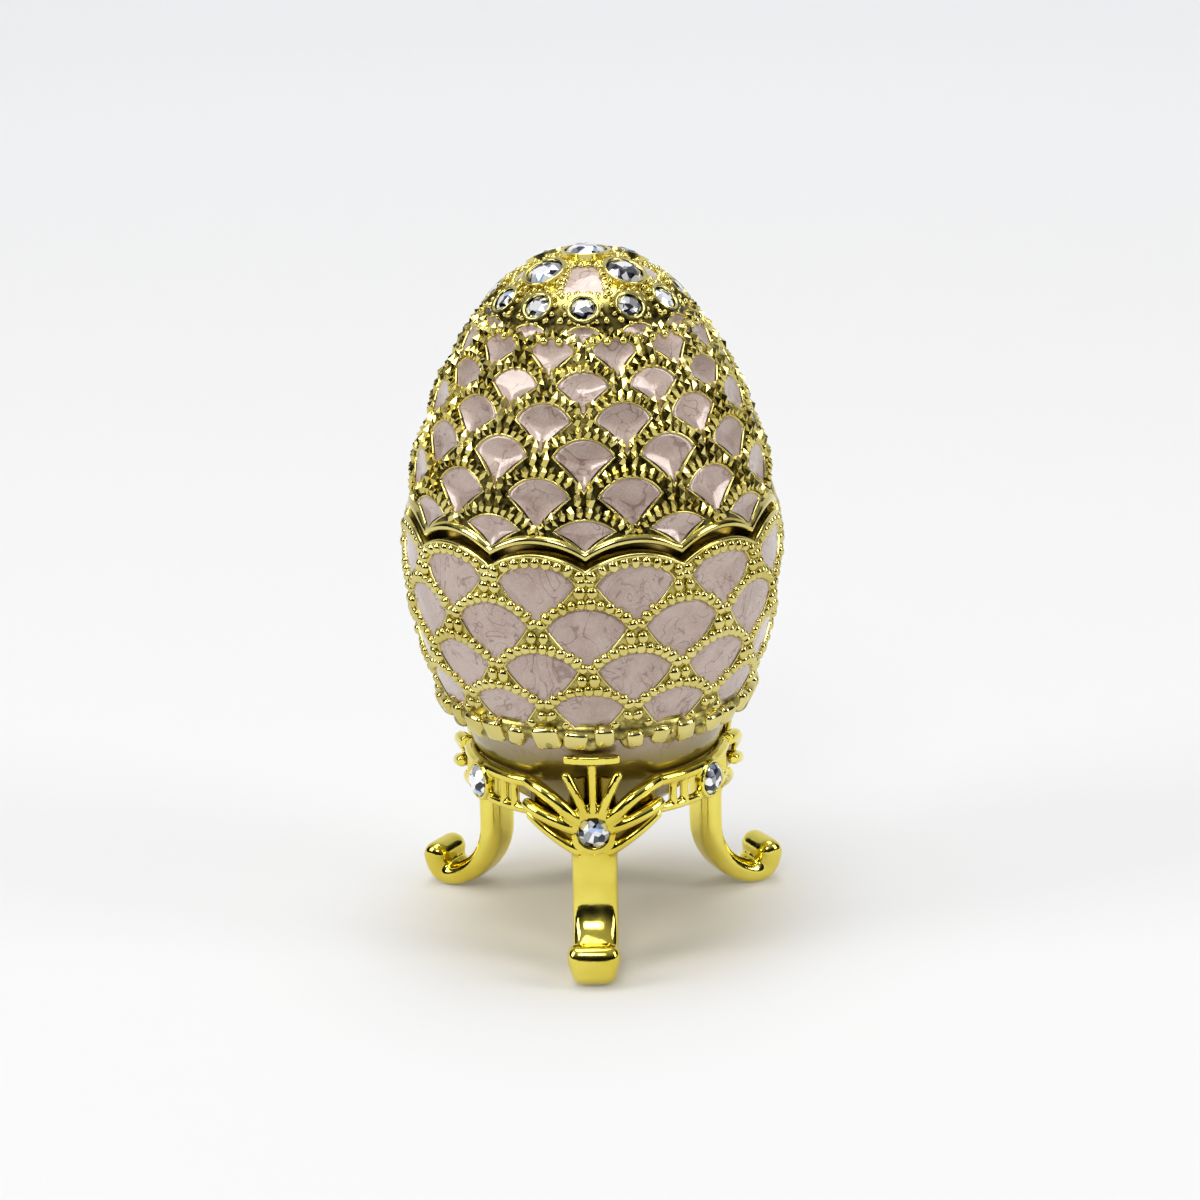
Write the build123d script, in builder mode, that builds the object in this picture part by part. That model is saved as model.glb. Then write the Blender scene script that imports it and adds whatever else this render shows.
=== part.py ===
from build123d import *
import math
import os

# A hinged egg-shaped trinket box on its three-legged stand, in millimetres.
# +Z is up, the floor is Z = 0, the egg's axis is the Z axis and the front leg points along -Y.
# Angles named azimuth are counted from -Y towards +X, and slope angles up from the level.

# Fits shared by the whole object
overrun = 1.0
seat_gap = 0.12
fit_gap = 0.02
running_gap = 0.05

# Pattern round the egg: columns of fan-shaped cells, alternate rows half a column apart
columns = 12
column_angle = 360 / columns

# Cup, the lower half of the egg: a long side arc over a round base
egg_radius = 17.1
cup_widest_z = 36.5
cup_arc_radius = 31.5
wall = 1.3
cup_arc_center = egg_radius - cup_arc_radius
base_radius = 12.6
base_center_z = 23.2
base_enamel_thickness = 0.35
metal_base_radius = base_radius - base_enamel_thickness
inner_base_radius = metal_base_radius - wall
inner_step_rise = 3.2

# Scalloped rim between cup and lid: one arch over each column
rim_valley_z = 38.8
rim_arch_rise = 1.5
rim_top_z = rim_valley_z + rim_arch_rise
rim_gap = 0.8
arch_width = 2 * (egg_radius + fit_gap) * math.tan(math.radians(column_angle / 2))

# Beaded band round the foot of the cup
bead_count = 24
bead_band_z = 23.0
bead_band_radius = 0.95
bead_radius = 1.0
bead_drop = 0.85

# Lid, the upper half of the egg: a side arc that runs into a rounder crown
lid_radius = 16.75
lid_widest_z = 37.0
lid_arc_radius = 35.0
lid_arc_center = lid_radius - lid_arc_radius
crown_z = 59.5
egg_top_z = 63.5
lid_inner_top_z = 57.5
lid_ceiling_drop = 1.9

# Cells: pockets in the gold, filled with enamel that lies a little under the ridges
pocket_depth = 0.5
enamel_drop = 0.12
cell_corner_share = 0.16
cup_bow_share = 0.012
lid_bow_share = 0.045

# Rows of cells: slope angle, width as a share of the column pitch, height, and column offset
cup_rows = (
    (0.6, 0.76, 5.1, 0.5),
    (-6.9, 0.78, 5.5, 0.0),
    (-14.5, 0.77, 5.1, 0.5),
    (-21.6, 0.76, 4.6, 0.0),
)
lid_rows = (
    (8.0, 0.60, 2.7, 0.0),
    (12.4, 0.66, 4.5, 0.5),
    (18.2, 0.66, 4.4, 0.0),
    (23.4, 0.68, 4.3, 0.5),
    (28.6, 0.70, 3.8, 0.0),
    (33.8, 0.70, 3.5, 0.5),
    (37.3, 0.55, 1.5, 0.0),
)

# Cut crystals: radius of each size, and their proportions as shares of the radius
small_crystal_radius = 1.2
crown_crystal_radius = 1.75
top_crystal_radius = 1.95
stand_crystal_radius = 1.45
crystal_facets = 8
crystal_table_share = 0.56
crystal_crown_share = 0.42
crystal_girdle_share = 0.12
crystal_pavilion_share = 0.5
crystal_culet_share = 0.25
collet_wall = 0.35
collet_height = 0.4

# Crown: a ring of small crystals, then four large ones with enamel panels between
band_crystal_count = 12
band_crystal_circle = 8.0
crown_crystal_count = 4
crown_crystal_circle = 4.9
panel_top_width = 2.2
panel_foot_width = 4.0
panel_height = 3.9
panel_circle = 4.9

# Collar soldered inside the cup, which guides the lid
collar_wall = 0.7
collar_lid_gap = 0.3
collar_foot_z = 36.8
collar_step_z = 38.1
collar_step_rise = 0.5
collar_top_z = 41.6
magnet_radius = 1.5
magnet_height = 1.2
magnet_wall = 0.6
magnet_floor = 0.8
magnet_gap = 0.3

# Hinge at the back of the egg
knuckle_radius = 1.1
knuckle_gap = 0.12
hinge_z = 40.3
hinge_width = 7.2
center_knuckle_width = 2.4
pin_radius = 0.45
pin_head_radius = 0.7
pin_head_width = 0.3
leaf_length = 4.4
leaf_thickness = 0.8
leaf_start = 0.35

# Stand: three legs under a pierced gallery ring
leg_count = 3
leg_angle = 360 / leg_count
leaf_half_angle = 30.0
ring_z = 17.0
ring_bar_radius = 0.6
lower_bar_share = 0.33
lower_bar_radius = 0.45
strut_radius = 0.4
strut_offsets = (16.0, 22.5)
gallery_boss_radius = 1.85
gallery_boss_depth = 1.0
gallery_boss_proud = 0.75
stand_crystal_sink = 0.1
leg_width = 4.3
leg_thickness = 2.2
leg_corner = 1.0
leg_bend_radius = 6.0
leg_bend_angle = 78.0
curl_radius = 1.5
curl_angle = 102.0
scroll_radius = 1.35
scroll_angle = 20.0
scroll_width = 4.9
scroll_corner = 0.9
foot_flat = 0.15
boss_radius = 2.1
boss_depth = 1.8
boss_z = 12.9
boss_proud = 0.1

# Leaf over each leg: ribs as shares of the leaf's half angle, its bulge and its height
leaf_bulge = 1.6
upper_rib_shares = ((0.22, 0.70, 0.25), (0.60, 0.90, 0.90), (1.05, 0.0, 1.0))
middle_rib_shares = ((0.22, 0.75, 0.10), (0.57, 1.00, 0.36), (0.93, 0.60, 0.55))
lower_rib_shares = ((0.20, 0.35, -0.50), (0.58, 0.45, -0.10), (1.05, 0.0, lower_bar_share))
petal_shares = ((0.10, 0.60, 0.35), (0.20, 0.85, 0.85), (0.34, 0.80, 1.35))
stem_shares = ((0.0, 0.55, 0.35), (0.0, 0.50, 1.00))
leaf_ribs = (
    (upper_rib_shares, 0.65),
    (middle_rib_shares, 0.6),
    (lower_rib_shares, 0.5),
    (petal_shares, 0.45),
)
stem_radius = 0.45
cap_z = 20.1
cap_width = 5.2
cap_depth = 1.3
cap_height = 0.8


def arc_point(center_r, center_z, radius, angle):
    """Radius and height of the point at a slope angle on an arc of the egg's outline."""
    slope = math.radians(angle)
    return center_r + radius * math.cos(slope), center_z + radius * math.sin(slope)


def radius_at(center_r, center_z, radius, z):
    """Radius of an arc of the outline at height z."""
    return center_r + math.sqrt(radius ** 2 - (z - center_z) ** 2)


def direction(azimuth):
    """Level unit vector that points outwards at an azimuth."""
    turn = math.radians(azimuth - 90)
    return Vector(math.cos(turn), math.sin(turn), 0)


def round_point(azimuth, radius, z):
    """Point at an azimuth, a distance from the axis and a height."""
    return direction(azimuth) * radius + Vector(0, 0, z)


def skin_plane(azimuth, radius, z, slope, lift=0.0):
    """Plane that lies on a surface of revolution, its X level and its normal outwards."""
    tilt = math.radians(slope)
    out = direction(azimuth)
    normal = out * math.cos(tilt) + Vector(0, 0, math.sin(tilt))
    level = Vector(-out.Y, out.X, 0)
    return Plane(origin=out * radius + Vector(0, 0, z) + normal * lift, x_dir=level, z_dir=normal)


# Outline of the cup's side at the levels where other pieces meet it
cup_rim_radius = radius_at(cup_arc_center, cup_widest_z, cup_arc_radius, rim_top_z)
cup_foot_radius = radius_at(cup_arc_center, cup_widest_z, cup_arc_radius, bead_band_z)
cup_inner_arc = cup_arc_radius - wall
inner_step_z = base_center_z + inner_step_rise
crown_radius_at_edge = radius_at(lid_arc_center, lid_widest_z, lid_arc_radius, crown_z)
crown_rise = egg_top_z - crown_z
crown_arc_radius = (crown_radius_at_edge ** 2 + crown_rise ** 2) / (2 * crown_rise)
crown_center_z = egg_top_z - crown_arc_radius
lid_inner_arc = lid_arc_radius - wall
lid_foot_z = rim_valley_z + rim_gap


def side_points(center_r, center_z, radius, low_z, high_z):
    """Three points of a side arc, from a low level to a high one."""
    middle_z = (low_z + high_z) / 2
    return [(radius_at(center_r, center_z, radius, z), z) for z in (low_z, middle_z, high_z)]


def revolved_layer(center_r, center_z, outer, inner, low_z, high_z):
    """Ring of even thickness between two side arcs with one centre."""
    outside = side_points(center_r, center_z, outer, low_z, high_z)
    inside = side_points(center_r, center_z, inner, low_z, high_z)
    with BuildPart() as layer:
        with BuildSketch(Plane.XZ):
            with BuildLine():
                ThreePointArc(*outside)
                Line(outside[2], inside[2])
                ThreePointArc(*reversed(inside))
                Line(inside[0], outside[0])
            make_face()
        revolve(axis=Axis.Z)
    return layer.part


def base_arc(radius, top_z):
    """Three points of a round base, from the axis up to a level."""
    turn = math.acos((base_center_z - top_z) / radius) / 2
    middle = (radius * math.sin(turn), base_center_z - radius * math.cos(turn))
    return [(0, base_center_z - radius), middle, (radius_at(0, base_center_z, radius, top_z), top_z)]


def dome_arc(top_z, edge_radius, edge_z):
    """Three points of a dome centred on the axis, from its top to its edge."""
    rise = top_z - edge_z
    radius = (edge_radius ** 2 + rise ** 2) / (2 * rise)
    middle_radius = edge_radius / 2
    middle_z = top_z - radius + math.sqrt(radius ** 2 - middle_radius ** 2)
    return [(0, top_z), (middle_radius, middle_z), (edge_radius, edge_z)]


def crown_layer(outer, inner):
    """Even shell of the crown's dome between two radii."""
    edge_turn = math.asin(crown_radius_at_edge / crown_arc_radius)
    arcs = [
        [(r * math.sin(edge_turn * share), crown_center_z + r * math.cos(edge_turn * share))
         for share in (0, 1 / 2, 1)]
        for r in (outer, inner)
    ]
    with BuildPart() as layer:
        with BuildSketch(Plane.XZ):
            with BuildLine():
                ThreePointArc(*arcs[0])
                Line(arcs[0][2], arcs[1][2])
                ThreePointArc(*reversed(arcs[1]))
                Line(arcs[1][0], arcs[0][0])
            make_face()
        revolve(axis=Axis.Z)
    return layer.part


def panel_outline(inset):
    """Outline of an enamel panel on the crown, wide at its foot."""
    top = panel_top_width / 2 - inset
    foot = panel_foot_width / 2 - inset
    half = panel_height / 2 - inset
    Polygon((-foot, -half), (foot, -half), (top, half), (-top, half), align=None)


def cell_cutters(rows, center_r, center_z, radius, bow_share, inset):
    """Prisms of all the fan-shaped cells of one half of the egg, each square to the skin."""
    reach = pocket_depth + overrun
    with BuildPart() as cutters:
        for slope, width_share, height, offset in rows:
            row_radius, row_z = arc_point(center_r, center_z, radius, slope)
            pitch = 2 * math.pi * row_radius / columns
            half = pitch * width_share / 2 - inset
            top = height / 2 - inset
            foot = 2 * inset - height / 2
            side = height * cell_corner_share
            bow = pitch * bow_share
            planes = [
                skin_plane((k + offset) * column_angle, row_radius, row_z, slope, overrun)
                for k in range(columns)
            ]
            with BuildSketch(*planes):
                with BuildLine():
                    ThreePointArc((-half, side), (0, top), (half, side))
                    ThreePointArc((half, side), (half / 2 - bow, (side + foot) / 2), (0, foot))
                    ThreePointArc((0, foot), (bow - half / 2, (side + foot) / 2), (-half, side))
                make_face()
            extrude(amount=-(overrun + reach))
    return cutters.part


def rim_body(lift):
    """Solid whose top is the scalloped rim, one arch to a column, raised by a lift."""
    valley = rim_valley_z + lift
    top = rim_top_z + lift
    planes = [Plane(origin=(0, 0, 0), x_dir=skin_plane((k + 0.5) * column_angle, 0, 0, 0).x_dir,
                    z_dir=direction((k + 0.5) * column_angle)) for k in range(columns)]
    with BuildPart() as body:
        with BuildSketch():
            Circle(egg_radius + overrun)
        extrude(amount=valley)
        with BuildSketch(*planes):
            with BuildLine():
                Line((-arch_width / 2, valley - overrun), (-arch_width / 2, valley))
                ThreePointArc((-arch_width / 2, valley), (0, top), (arch_width / 2, valley))
                Line((arch_width / 2, valley), (arch_width / 2, valley - overrun))
                Line((arch_width / 2, valley - overrun), (-arch_width / 2, valley - overrun))
            make_face()
        extrude(amount=egg_radius + overrun)
    return body.part


def crystal(radius):
    """Round cut stone with its girdle's middle at the origin and its table up."""
    girdle = radius * crystal_girdle_share
    with BuildPart() as stone:
        with BuildSketch(Plane.XY.offset(-girdle / 2)):
            RegularPolygon(radius, crystal_facets)
        extrude(amount=girdle)
        with BuildSketch(Plane.XY.offset(girdle / 2)):
            RegularPolygon(radius, crystal_facets)
        with BuildSketch(Plane.XY.offset(girdle / 2 + radius * crystal_crown_share)):
            RegularPolygon(radius * crystal_table_share, crystal_facets)
        loft(ruled=True)
        with BuildSketch(Plane.XY.offset(-girdle / 2)):
            RegularPolygon(radius, crystal_facets)
        with BuildSketch(Plane.XY.offset(-girdle / 2 - radius * crystal_pavilion_share)):
            RegularPolygon(radius * crystal_culet_share, crystal_facets)
        loft(ruled=True)
    return stone.part


def seat_depth(radius):
    """Depth of the seat under a stone's girdle."""
    return radius * (crystal_girdle_share / 2 + crystal_pavilion_share) + fit_gap


def crown_planes(count, circle, offset, lift=0.0):
    """Planes on the crown's skin, evenly round a circle."""
    slope = math.degrees(math.acos(circle / crown_arc_radius))
    z = crown_center_z + math.sqrt(crown_arc_radius ** 2 - circle ** 2)
    return [skin_plane((k + offset) * 360 / count, circle, z, slope, lift) for k in range(count)]


small_crystal = crystal(small_crystal_radius)
crown_crystal = crystal(crown_crystal_radius)
top_crystal_shape = crystal(top_crystal_radius)
stand_crystal = crystal(stand_crystal_radius)

# Each group of set stones: stone radius and the skin planes of its collets
band_seats = crown_planes(band_crystal_count, band_crystal_circle, 0.0)
crown_seats = crown_planes(crown_crystal_count, crown_crystal_circle, 0.5)
top_seats = [Plane.XY.offset(egg_top_z)]
settings = (
    (small_crystal_radius, band_seats),
    (crown_crystal_radius, crown_seats),
    (top_crystal_radius, top_seats),
)

# Cup shell: gold casting with pockets for enamel, a scalloped rim and a beaded foot band
cup_side = side_points(cup_arc_center, cup_widest_z, cup_arc_radius, bead_band_z, rim_top_z + overrun)
cup_inside = side_points(cup_arc_center, cup_widest_z, cup_inner_arc, inner_step_z,
                         rim_top_z + overrun)
metal_base = base_arc(metal_base_radius, bead_band_z)
inner_base = base_arc(inner_base_radius, base_center_z)
cup_pockets = cell_cutters(cup_rows, cup_arc_center, cup_widest_z, cup_arc_radius, cup_bow_share, 0.0)
cup_pocket_layer = revolved_layer(cup_arc_center, cup_widest_z, cup_arc_radius + overrun,
                                  cup_arc_radius - pocket_depth, bead_band_z + bead_band_radius,
                                  rim_top_z)
with BuildPart() as cup_pocket_tool:
    add(cup_pockets)
    add(cup_pocket_layer, mode=Mode.INTERSECT)

with BuildPart() as cup_shell:
    with BuildSketch(Plane.XZ):
        with BuildLine():
            ThreePointArc(*metal_base)
            Line(metal_base[2], cup_side[0])
            ThreePointArc(*cup_side)
            Line(cup_side[2], cup_inside[2])
            ThreePointArc(*reversed(cup_inside))
            Line(cup_inside[0], inner_base[2])
            ThreePointArc(*reversed(inner_base))
            Line(inner_base[0], metal_base[0])
        make_face()
    revolve(axis=Axis.Z)
    with BuildSketch(Plane.XZ):
        with Locations((cup_foot_radius - bead_band_radius / 2, bead_band_z)):
            Circle(bead_band_radius)
    revolve(axis=Axis.Z)
    with PolarLocations(cup_foot_radius - bead_band_radius / 2, bead_count):
        with Locations((0, 0, bead_band_z - bead_drop)):
            Sphere(bead_radius)
    add(rim_body(0.0), mode=Mode.INTERSECT)
    add(cup_pocket_tool.part, mode=Mode.SUBTRACT)
cup_shell.part.label = "cup_shell"

# Enamel of the cup's cells, fired into the pockets
cup_enamel_layer = revolved_layer(cup_arc_center, cup_widest_z, cup_arc_radius - enamel_drop,
                                  cup_arc_radius - pocket_depth + fit_gap,
                                  bead_band_z + bead_band_radius + fit_gap, rim_top_z)
with BuildPart() as cup_enamel:
    add(cell_cutters(cup_rows, cup_arc_center, cup_widest_z, cup_arc_radius, cup_bow_share, fit_gap))
    add(cup_enamel_layer, mode=Mode.INTERSECT)
cup_enamel.part.label = "cup_enamel"

# Enamel skin of the cup's plain round base, below the beaded band
base_skin_top_z = bead_band_z - bead_band_radius - fit_gap
base_skin = base_arc(base_radius, base_skin_top_z)
base_seat = base_arc(metal_base_radius + fit_gap, base_skin_top_z)
with BuildPart() as base_enamel:
    with BuildSketch(Plane.XZ):
        with BuildLine():
            ThreePointArc(*base_skin)
            Line(base_skin[2], base_seat[2])
            ThreePointArc(*reversed(base_seat))
            Line(base_seat[0], base_skin[0])
        make_face()
    revolve(axis=Axis.Z)
base_enamel.part.label = "base_enamel"

# Collar: a brass ring soldered inside the cup, which stands up into the lid and guides it
collar_seat_radius = radius_at(cup_arc_center, cup_widest_z, cup_inner_arc, collar_step_z) - fit_gap
lid_inside_at_foot = radius_at(lid_arc_center, lid_widest_z, lid_inner_arc, collar_top_z)
collar_radius = lid_inside_at_foot - collar_lid_gap
collar_bore = collar_radius - collar_wall
magnet_boss_radius = magnet_radius + magnet_wall
magnet_y = -(collar_bore - magnet_radius)
cup_magnet_z = collar_top_z - magnet_height
lid_magnet_z = collar_top_z + magnet_gap
with BuildPart() as rim_collar:
    with BuildSketch(Plane.XZ):
        Polygon(
            (collar_bore, collar_foot_z),
            (collar_seat_radius, collar_foot_z),
            (collar_seat_radius, collar_step_z),
            (collar_radius, collar_step_z + collar_step_rise),
            (collar_radius, collar_top_z),
            (collar_bore, collar_top_z),
            align=None,
        )
    revolve(axis=Axis.Z)
    with BuildSketch(Plane.XY.offset(cup_magnet_z - magnet_floor)):
        with Locations((0, magnet_y)):
            Circle(magnet_boss_radius)
            with Locations((0, -magnet_boss_radius / 2)):
                Rectangle(2 * magnet_boss_radius, magnet_boss_radius)
        Circle(collar_radius - collar_wall / 2, mode=Mode.INTERSECT)
    extrude(amount=magnet_height + magnet_floor)
    with BuildSketch(Plane.XY.offset(cup_magnet_z)):
        with Locations((0, magnet_y)):
            Circle(magnet_radius + fit_gap)
    extrude(amount=magnet_height, mode=Mode.SUBTRACT)
rim_collar.part.label = "rim_collar"

# Lid shell: gold casting with pockets, crown settings and an edge that follows the cup's rim
lid_side = side_points(lid_arc_center, lid_widest_z, lid_arc_radius, lid_foot_z, crown_z)
lid_inside = side_points(lid_arc_center, lid_widest_z, lid_inner_arc, lid_foot_z, lid_inner_top_z)
crown_skin = dome_arc(egg_top_z, crown_radius_at_edge, crown_z)
ceiling = dome_arc(egg_top_z - lid_ceiling_drop, lid_inside[2][0], lid_inner_top_z)
with BuildPart() as lid_pocket_tool:
    add(cell_cutters(lid_rows, lid_arc_center, lid_widest_z, lid_arc_radius, lid_bow_share, 0.0))
    add(revolved_layer(lid_arc_center, lid_widest_z, lid_arc_radius + overrun,
                       lid_arc_radius - pocket_depth, lid_foot_z, crown_z), mode=Mode.INTERSECT)

with BuildPart() as panel_cutters:
    with BuildSketch(*crown_planes(crown_crystal_count, panel_circle, 0.0, overrun)):
        panel_outline(0.0)
    extrude(amount=-(2 * overrun + pocket_depth))
    add(crown_layer(crown_arc_radius + overrun, crown_arc_radius - pocket_depth), mode=Mode.INTERSECT)

with BuildPart() as lid_shell:
    with BuildSketch(Plane.XZ):
        with BuildLine():
            ThreePointArc(*lid_side)
            ThreePointArc(*reversed(crown_skin))
            Line(crown_skin[0], ceiling[0])
            ThreePointArc(*ceiling)
            ThreePointArc(*reversed(lid_inside))
            Line(lid_inside[0], lid_side[0])
        make_face()
    revolve(axis=Axis.Z)
    for stone_radius, seats in settings:
        with BuildSketch(*[seat.offset(collet_height) for seat in seats]):
            Circle(stone_radius + collet_wall)
        extrude(amount=-(2 * collet_height))
    with BuildSketch(Plane.XY.offset(lid_magnet_z)):
        with Locations((0, magnet_y)):
            Circle(magnet_boss_radius)
            with Locations((0, -magnet_boss_radius)):
                Rectangle(2 * magnet_boss_radius, 2 * magnet_boss_radius)
        Circle(lid_inside_at_foot + wall / 2, mode=Mode.INTERSECT)
    extrude(amount=magnet_height + magnet_floor)
    with BuildSketch(Plane.XY.offset(lid_magnet_z)):
        with Locations((0, magnet_y)):
            Circle(magnet_radius + fit_gap)
    extrude(amount=magnet_height, mode=Mode.SUBTRACT)
    for stone_radius, seats in settings:
        with BuildSketch(*[seat.offset(collet_height) for seat in seats]):
            Circle(stone_radius + fit_gap)
        extrude(amount=-(collet_height + seat_depth(stone_radius)), mode=Mode.SUBTRACT)
    add(rim_body(rim_gap), mode=Mode.SUBTRACT)
    add(lid_pocket_tool.part, mode=Mode.SUBTRACT)
    add(panel_cutters.part, mode=Mode.SUBTRACT)
lid_shell.part.label = "lid_shell"

# Enamel of the lid's cells and of the crown's panels
with BuildPart() as lid_enamel:
    add(cell_cutters(lid_rows, lid_arc_center, lid_widest_z, lid_arc_radius, lid_bow_share, fit_gap))
    add(revolved_layer(lid_arc_center, lid_widest_z, lid_arc_radius - enamel_drop,
                       lid_arc_radius - pocket_depth + fit_gap, lid_foot_z, crown_z),
        mode=Mode.INTERSECT)
lid_enamel.part.label = "lid_enamel"

with BuildPart() as crown_enamel:
    with BuildSketch(*crown_planes(crown_crystal_count, panel_circle, 0.0, overrun)):
        panel_outline(fit_gap)
    extrude(amount=-(2 * overrun + pocket_depth))
    add(crown_layer(crown_arc_radius - enamel_drop, crown_arc_radius - pocket_depth + fit_gap),
        mode=Mode.INTERSECT)
crown_enamel.part.label = "crown_enamel"


def set_stones(stone, seats):
    """One stone in each seat, its girdle level with the skin."""
    with BuildPart() as stones:
        with Locations(*seats):
            add(stone)
    return stones.part


with BuildPart() as band_crystals:
    add(set_stones(small_crystal, band_seats))
band_crystals.part.label = "band_crystals"

with BuildPart() as crown_crystals:
    add(set_stones(crown_crystal, crown_seats))
crown_crystals.part.label = "crown_crystals"

with BuildPart() as top_crystal:
    add(set_stones(top_crystal_shape, top_seats))
top_crystal.part.label = "top_crystal"


def magnet(z):
    """Disc magnet of the closure in its pocket."""
    with BuildPart() as disc:
        with BuildSketch(Plane.XY.offset(z + fit_gap)):
            with Locations((0, magnet_y)):
                Circle(magnet_radius)
        extrude(amount=magnet_height - 2 * fit_gap)
    return disc.part


with BuildPart() as cup_magnet:
    add(magnet(cup_magnet_z))
cup_magnet.part.label = "cup_magnet"

with BuildPart() as lid_magnet:
    add(magnet(lid_magnet_z))
lid_magnet.part.label = "lid_magnet"

# Hinge at the back: two leaves soldered to the shells, and a pin through their knuckles
hinge_y = cup_rim_radius + knuckle_gap + knuckle_radius
hinge_plane = Plane(origin=(0, hinge_y, hinge_z), x_dir=(0, 1, 0), z_dir=(1, 0, 0))
side_knuckle_width = (hinge_width - center_knuckle_width) / 2 - running_gap
side_knuckle_places = [-(center_knuckle_width + side_knuckle_width) / 2 - running_gap,
                       (center_knuckle_width + side_knuckle_width) / 2 + running_gap]


def hinge_leaf(side, skin_radius, shell_envelope, places, width, other_places, other_width):
    """Leaf that lies on the egg's skin, above or below the hinge, and carries its knuckles."""
    foot_z = hinge_z + side * leaf_length
    start_z = hinge_z + side * leaf_start
    inner_y = skin_radius - wall
    with BuildPart() as leaf:
        with BuildSketch(Plane.YZ):
            Polygon(
                (inner_y, foot_z),
                (skin_radius + leaf_thickness, foot_z),
                (hinge_y, hinge_z),
                (hinge_y - knuckle_radius / 2, start_z),
                (inner_y, start_z),
                align=None,
            )
        extrude(amount=hinge_width / 2, both=True)
        add(shell_envelope, mode=Mode.SUBTRACT)
        for x in other_places:
            with BuildSketch(hinge_plane.offset(x)):
                Circle(knuckle_radius + knuckle_gap)
            extrude(amount=other_width / 2 + running_gap, both=True, mode=Mode.SUBTRACT)
        for x in places:
            with BuildSketch(hinge_plane.offset(x)):
                Circle(knuckle_radius)
            extrude(amount=width / 2, both=True)
        with BuildSketch(hinge_plane):
            Circle(pin_radius + running_gap)
        extrude(amount=hinge_width, both=True, mode=Mode.SUBTRACT)
    return leaf.part


cup_envelope = revolved_layer(cup_arc_center, cup_widest_z, cup_arc_radius + fit_gap,
                              cup_arc_radius - 2 * wall, hinge_z - leaf_length - overrun,
                              hinge_z + overrun)
lid_envelope = revolved_layer(lid_arc_center, lid_widest_z, lid_arc_radius + fit_gap,
                              lid_arc_radius - 2 * wall, hinge_z - overrun,
                              hinge_z + leaf_length + overrun)
cup_leaf_radius = radius_at(cup_arc_center, cup_widest_z, cup_arc_radius, hinge_z - leaf_length)
lid_leaf_radius = radius_at(lid_arc_center, lid_widest_z, lid_arc_radius, hinge_z + leaf_length)
with BuildPart() as cup_hinge_leaf:
    add(hinge_leaf(-1, cup_leaf_radius, cup_envelope, side_knuckle_places, side_knuckle_width,
                   [0], center_knuckle_width))
cup_hinge_leaf.part.label = "cup_hinge_leaf"

with BuildPart() as lid_hinge_leaf:
    add(hinge_leaf(1, lid_leaf_radius, lid_envelope, [0], center_knuckle_width,
                   side_knuckle_places, side_knuckle_width))
lid_hinge_leaf.part.label = "lid_hinge_leaf"

with BuildPart() as hinge_pin:
    with BuildSketch(hinge_plane):
        Circle(pin_radius)
    extrude(amount=hinge_width / 2 + pin_head_width, both=True)
    for side in (-1, 1):
        with BuildSketch(hinge_plane.offset(side * (hinge_width / 2 + running_gap))):
            Circle(pin_head_radius)
        extrude(amount=side * pin_head_width)
hinge_pin.part.label = "hinge_pin"

# Stand: its gallery ring and caps cradle the base, and its feet reach as far out as the hinge
ring_radius = math.sqrt((base_radius + seat_gap + ring_bar_radius) ** 2 - (base_center_z - ring_z) ** 2)
cap_top_z = cap_z + cap_height / 2
cap_radius = radius_at(0, base_center_z, base_radius, cap_top_z) + seat_gap + cap_depth / 2
foot_circle = hinge_y + knuckle_radius - leg_thickness / 2 - curl_radius
foot_z = curl_radius + leg_thickness / 2 - foot_flat
bend_across = math.cos(math.radians(leg_bend_angle))
bend_up = math.sin(math.radians(leg_bend_angle))
leg_line_radius = foot_circle + (leg_bend_radius - curl_radius) * bend_across - leg_bend_radius
leg_bend_z = foot_z + (leg_bend_radius - curl_radius) * bend_up
scroll_reach = curl_radius + leg_thickness / 2 - scroll_radius
scroll_circle = foot_circle + scroll_reach * math.cos(math.radians(scroll_angle))
scroll_z = foot_z + scroll_reach * math.sin(math.radians(scroll_angle))
boss_face = leg_line_radius + leg_thickness / 2 + boss_proud
gallery_face = ring_radius + gallery_boss_proud
lower_bar_z = boss_z + lower_bar_share * (ring_z - boss_z)
gallery_boss_z = (ring_z + lower_bar_z) / 2
gallery_sweep = leg_angle - 2 * leaf_half_angle


def ring_arc(z, bar_radius):
    """Round bar bent along the ring from one leg's leaf to the next."""
    start = leaf_half_angle
    side_plane = Plane(origin=(0, 0, 0), x_dir=direction(start), z_dir=direction(start - 90))
    with BuildSketch(side_plane) as section:
        with Locations((ring_radius, z)):
            Circle(bar_radius)
    revolve(section.sketch, axis=Axis.Z, revolution_arc=gallery_sweep)


def rib(points, bar_radius):
    """Round rib swept along an arc through three points, with a round tip."""
    with BuildLine() as path:
        ThreePointArc(*points)
    with BuildSketch(Plane(origin=path.line @ 0, z_dir=path.line % 0)) as section:
        Circle(bar_radius)
    sweep(section.sketch, path=path.line)
    with Locations(points[2]):
        Sphere(bar_radius)


def leaf_points(shares, side):
    """Points of a rib on the leaf, from shares of its angle, bulge and height."""
    return [
        round_point(side * leaf_half_angle * turn, ring_radius + leaf_bulge * out,
                    boss_z + (ring_z - boss_z) * up)
        for turn, out, up in shares
    ]


def stone_seat(plane):
    """Seat bored square to the stand's face for one of its stones."""
    with BuildSketch(plane) as mouth:
        Circle(stand_crystal_radius + fit_gap)
    depth = seat_depth(stand_crystal_radius) + stand_crystal_sink
    extrude(mouth.sketch, amount=-depth, mode=Mode.SUBTRACT)


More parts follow.
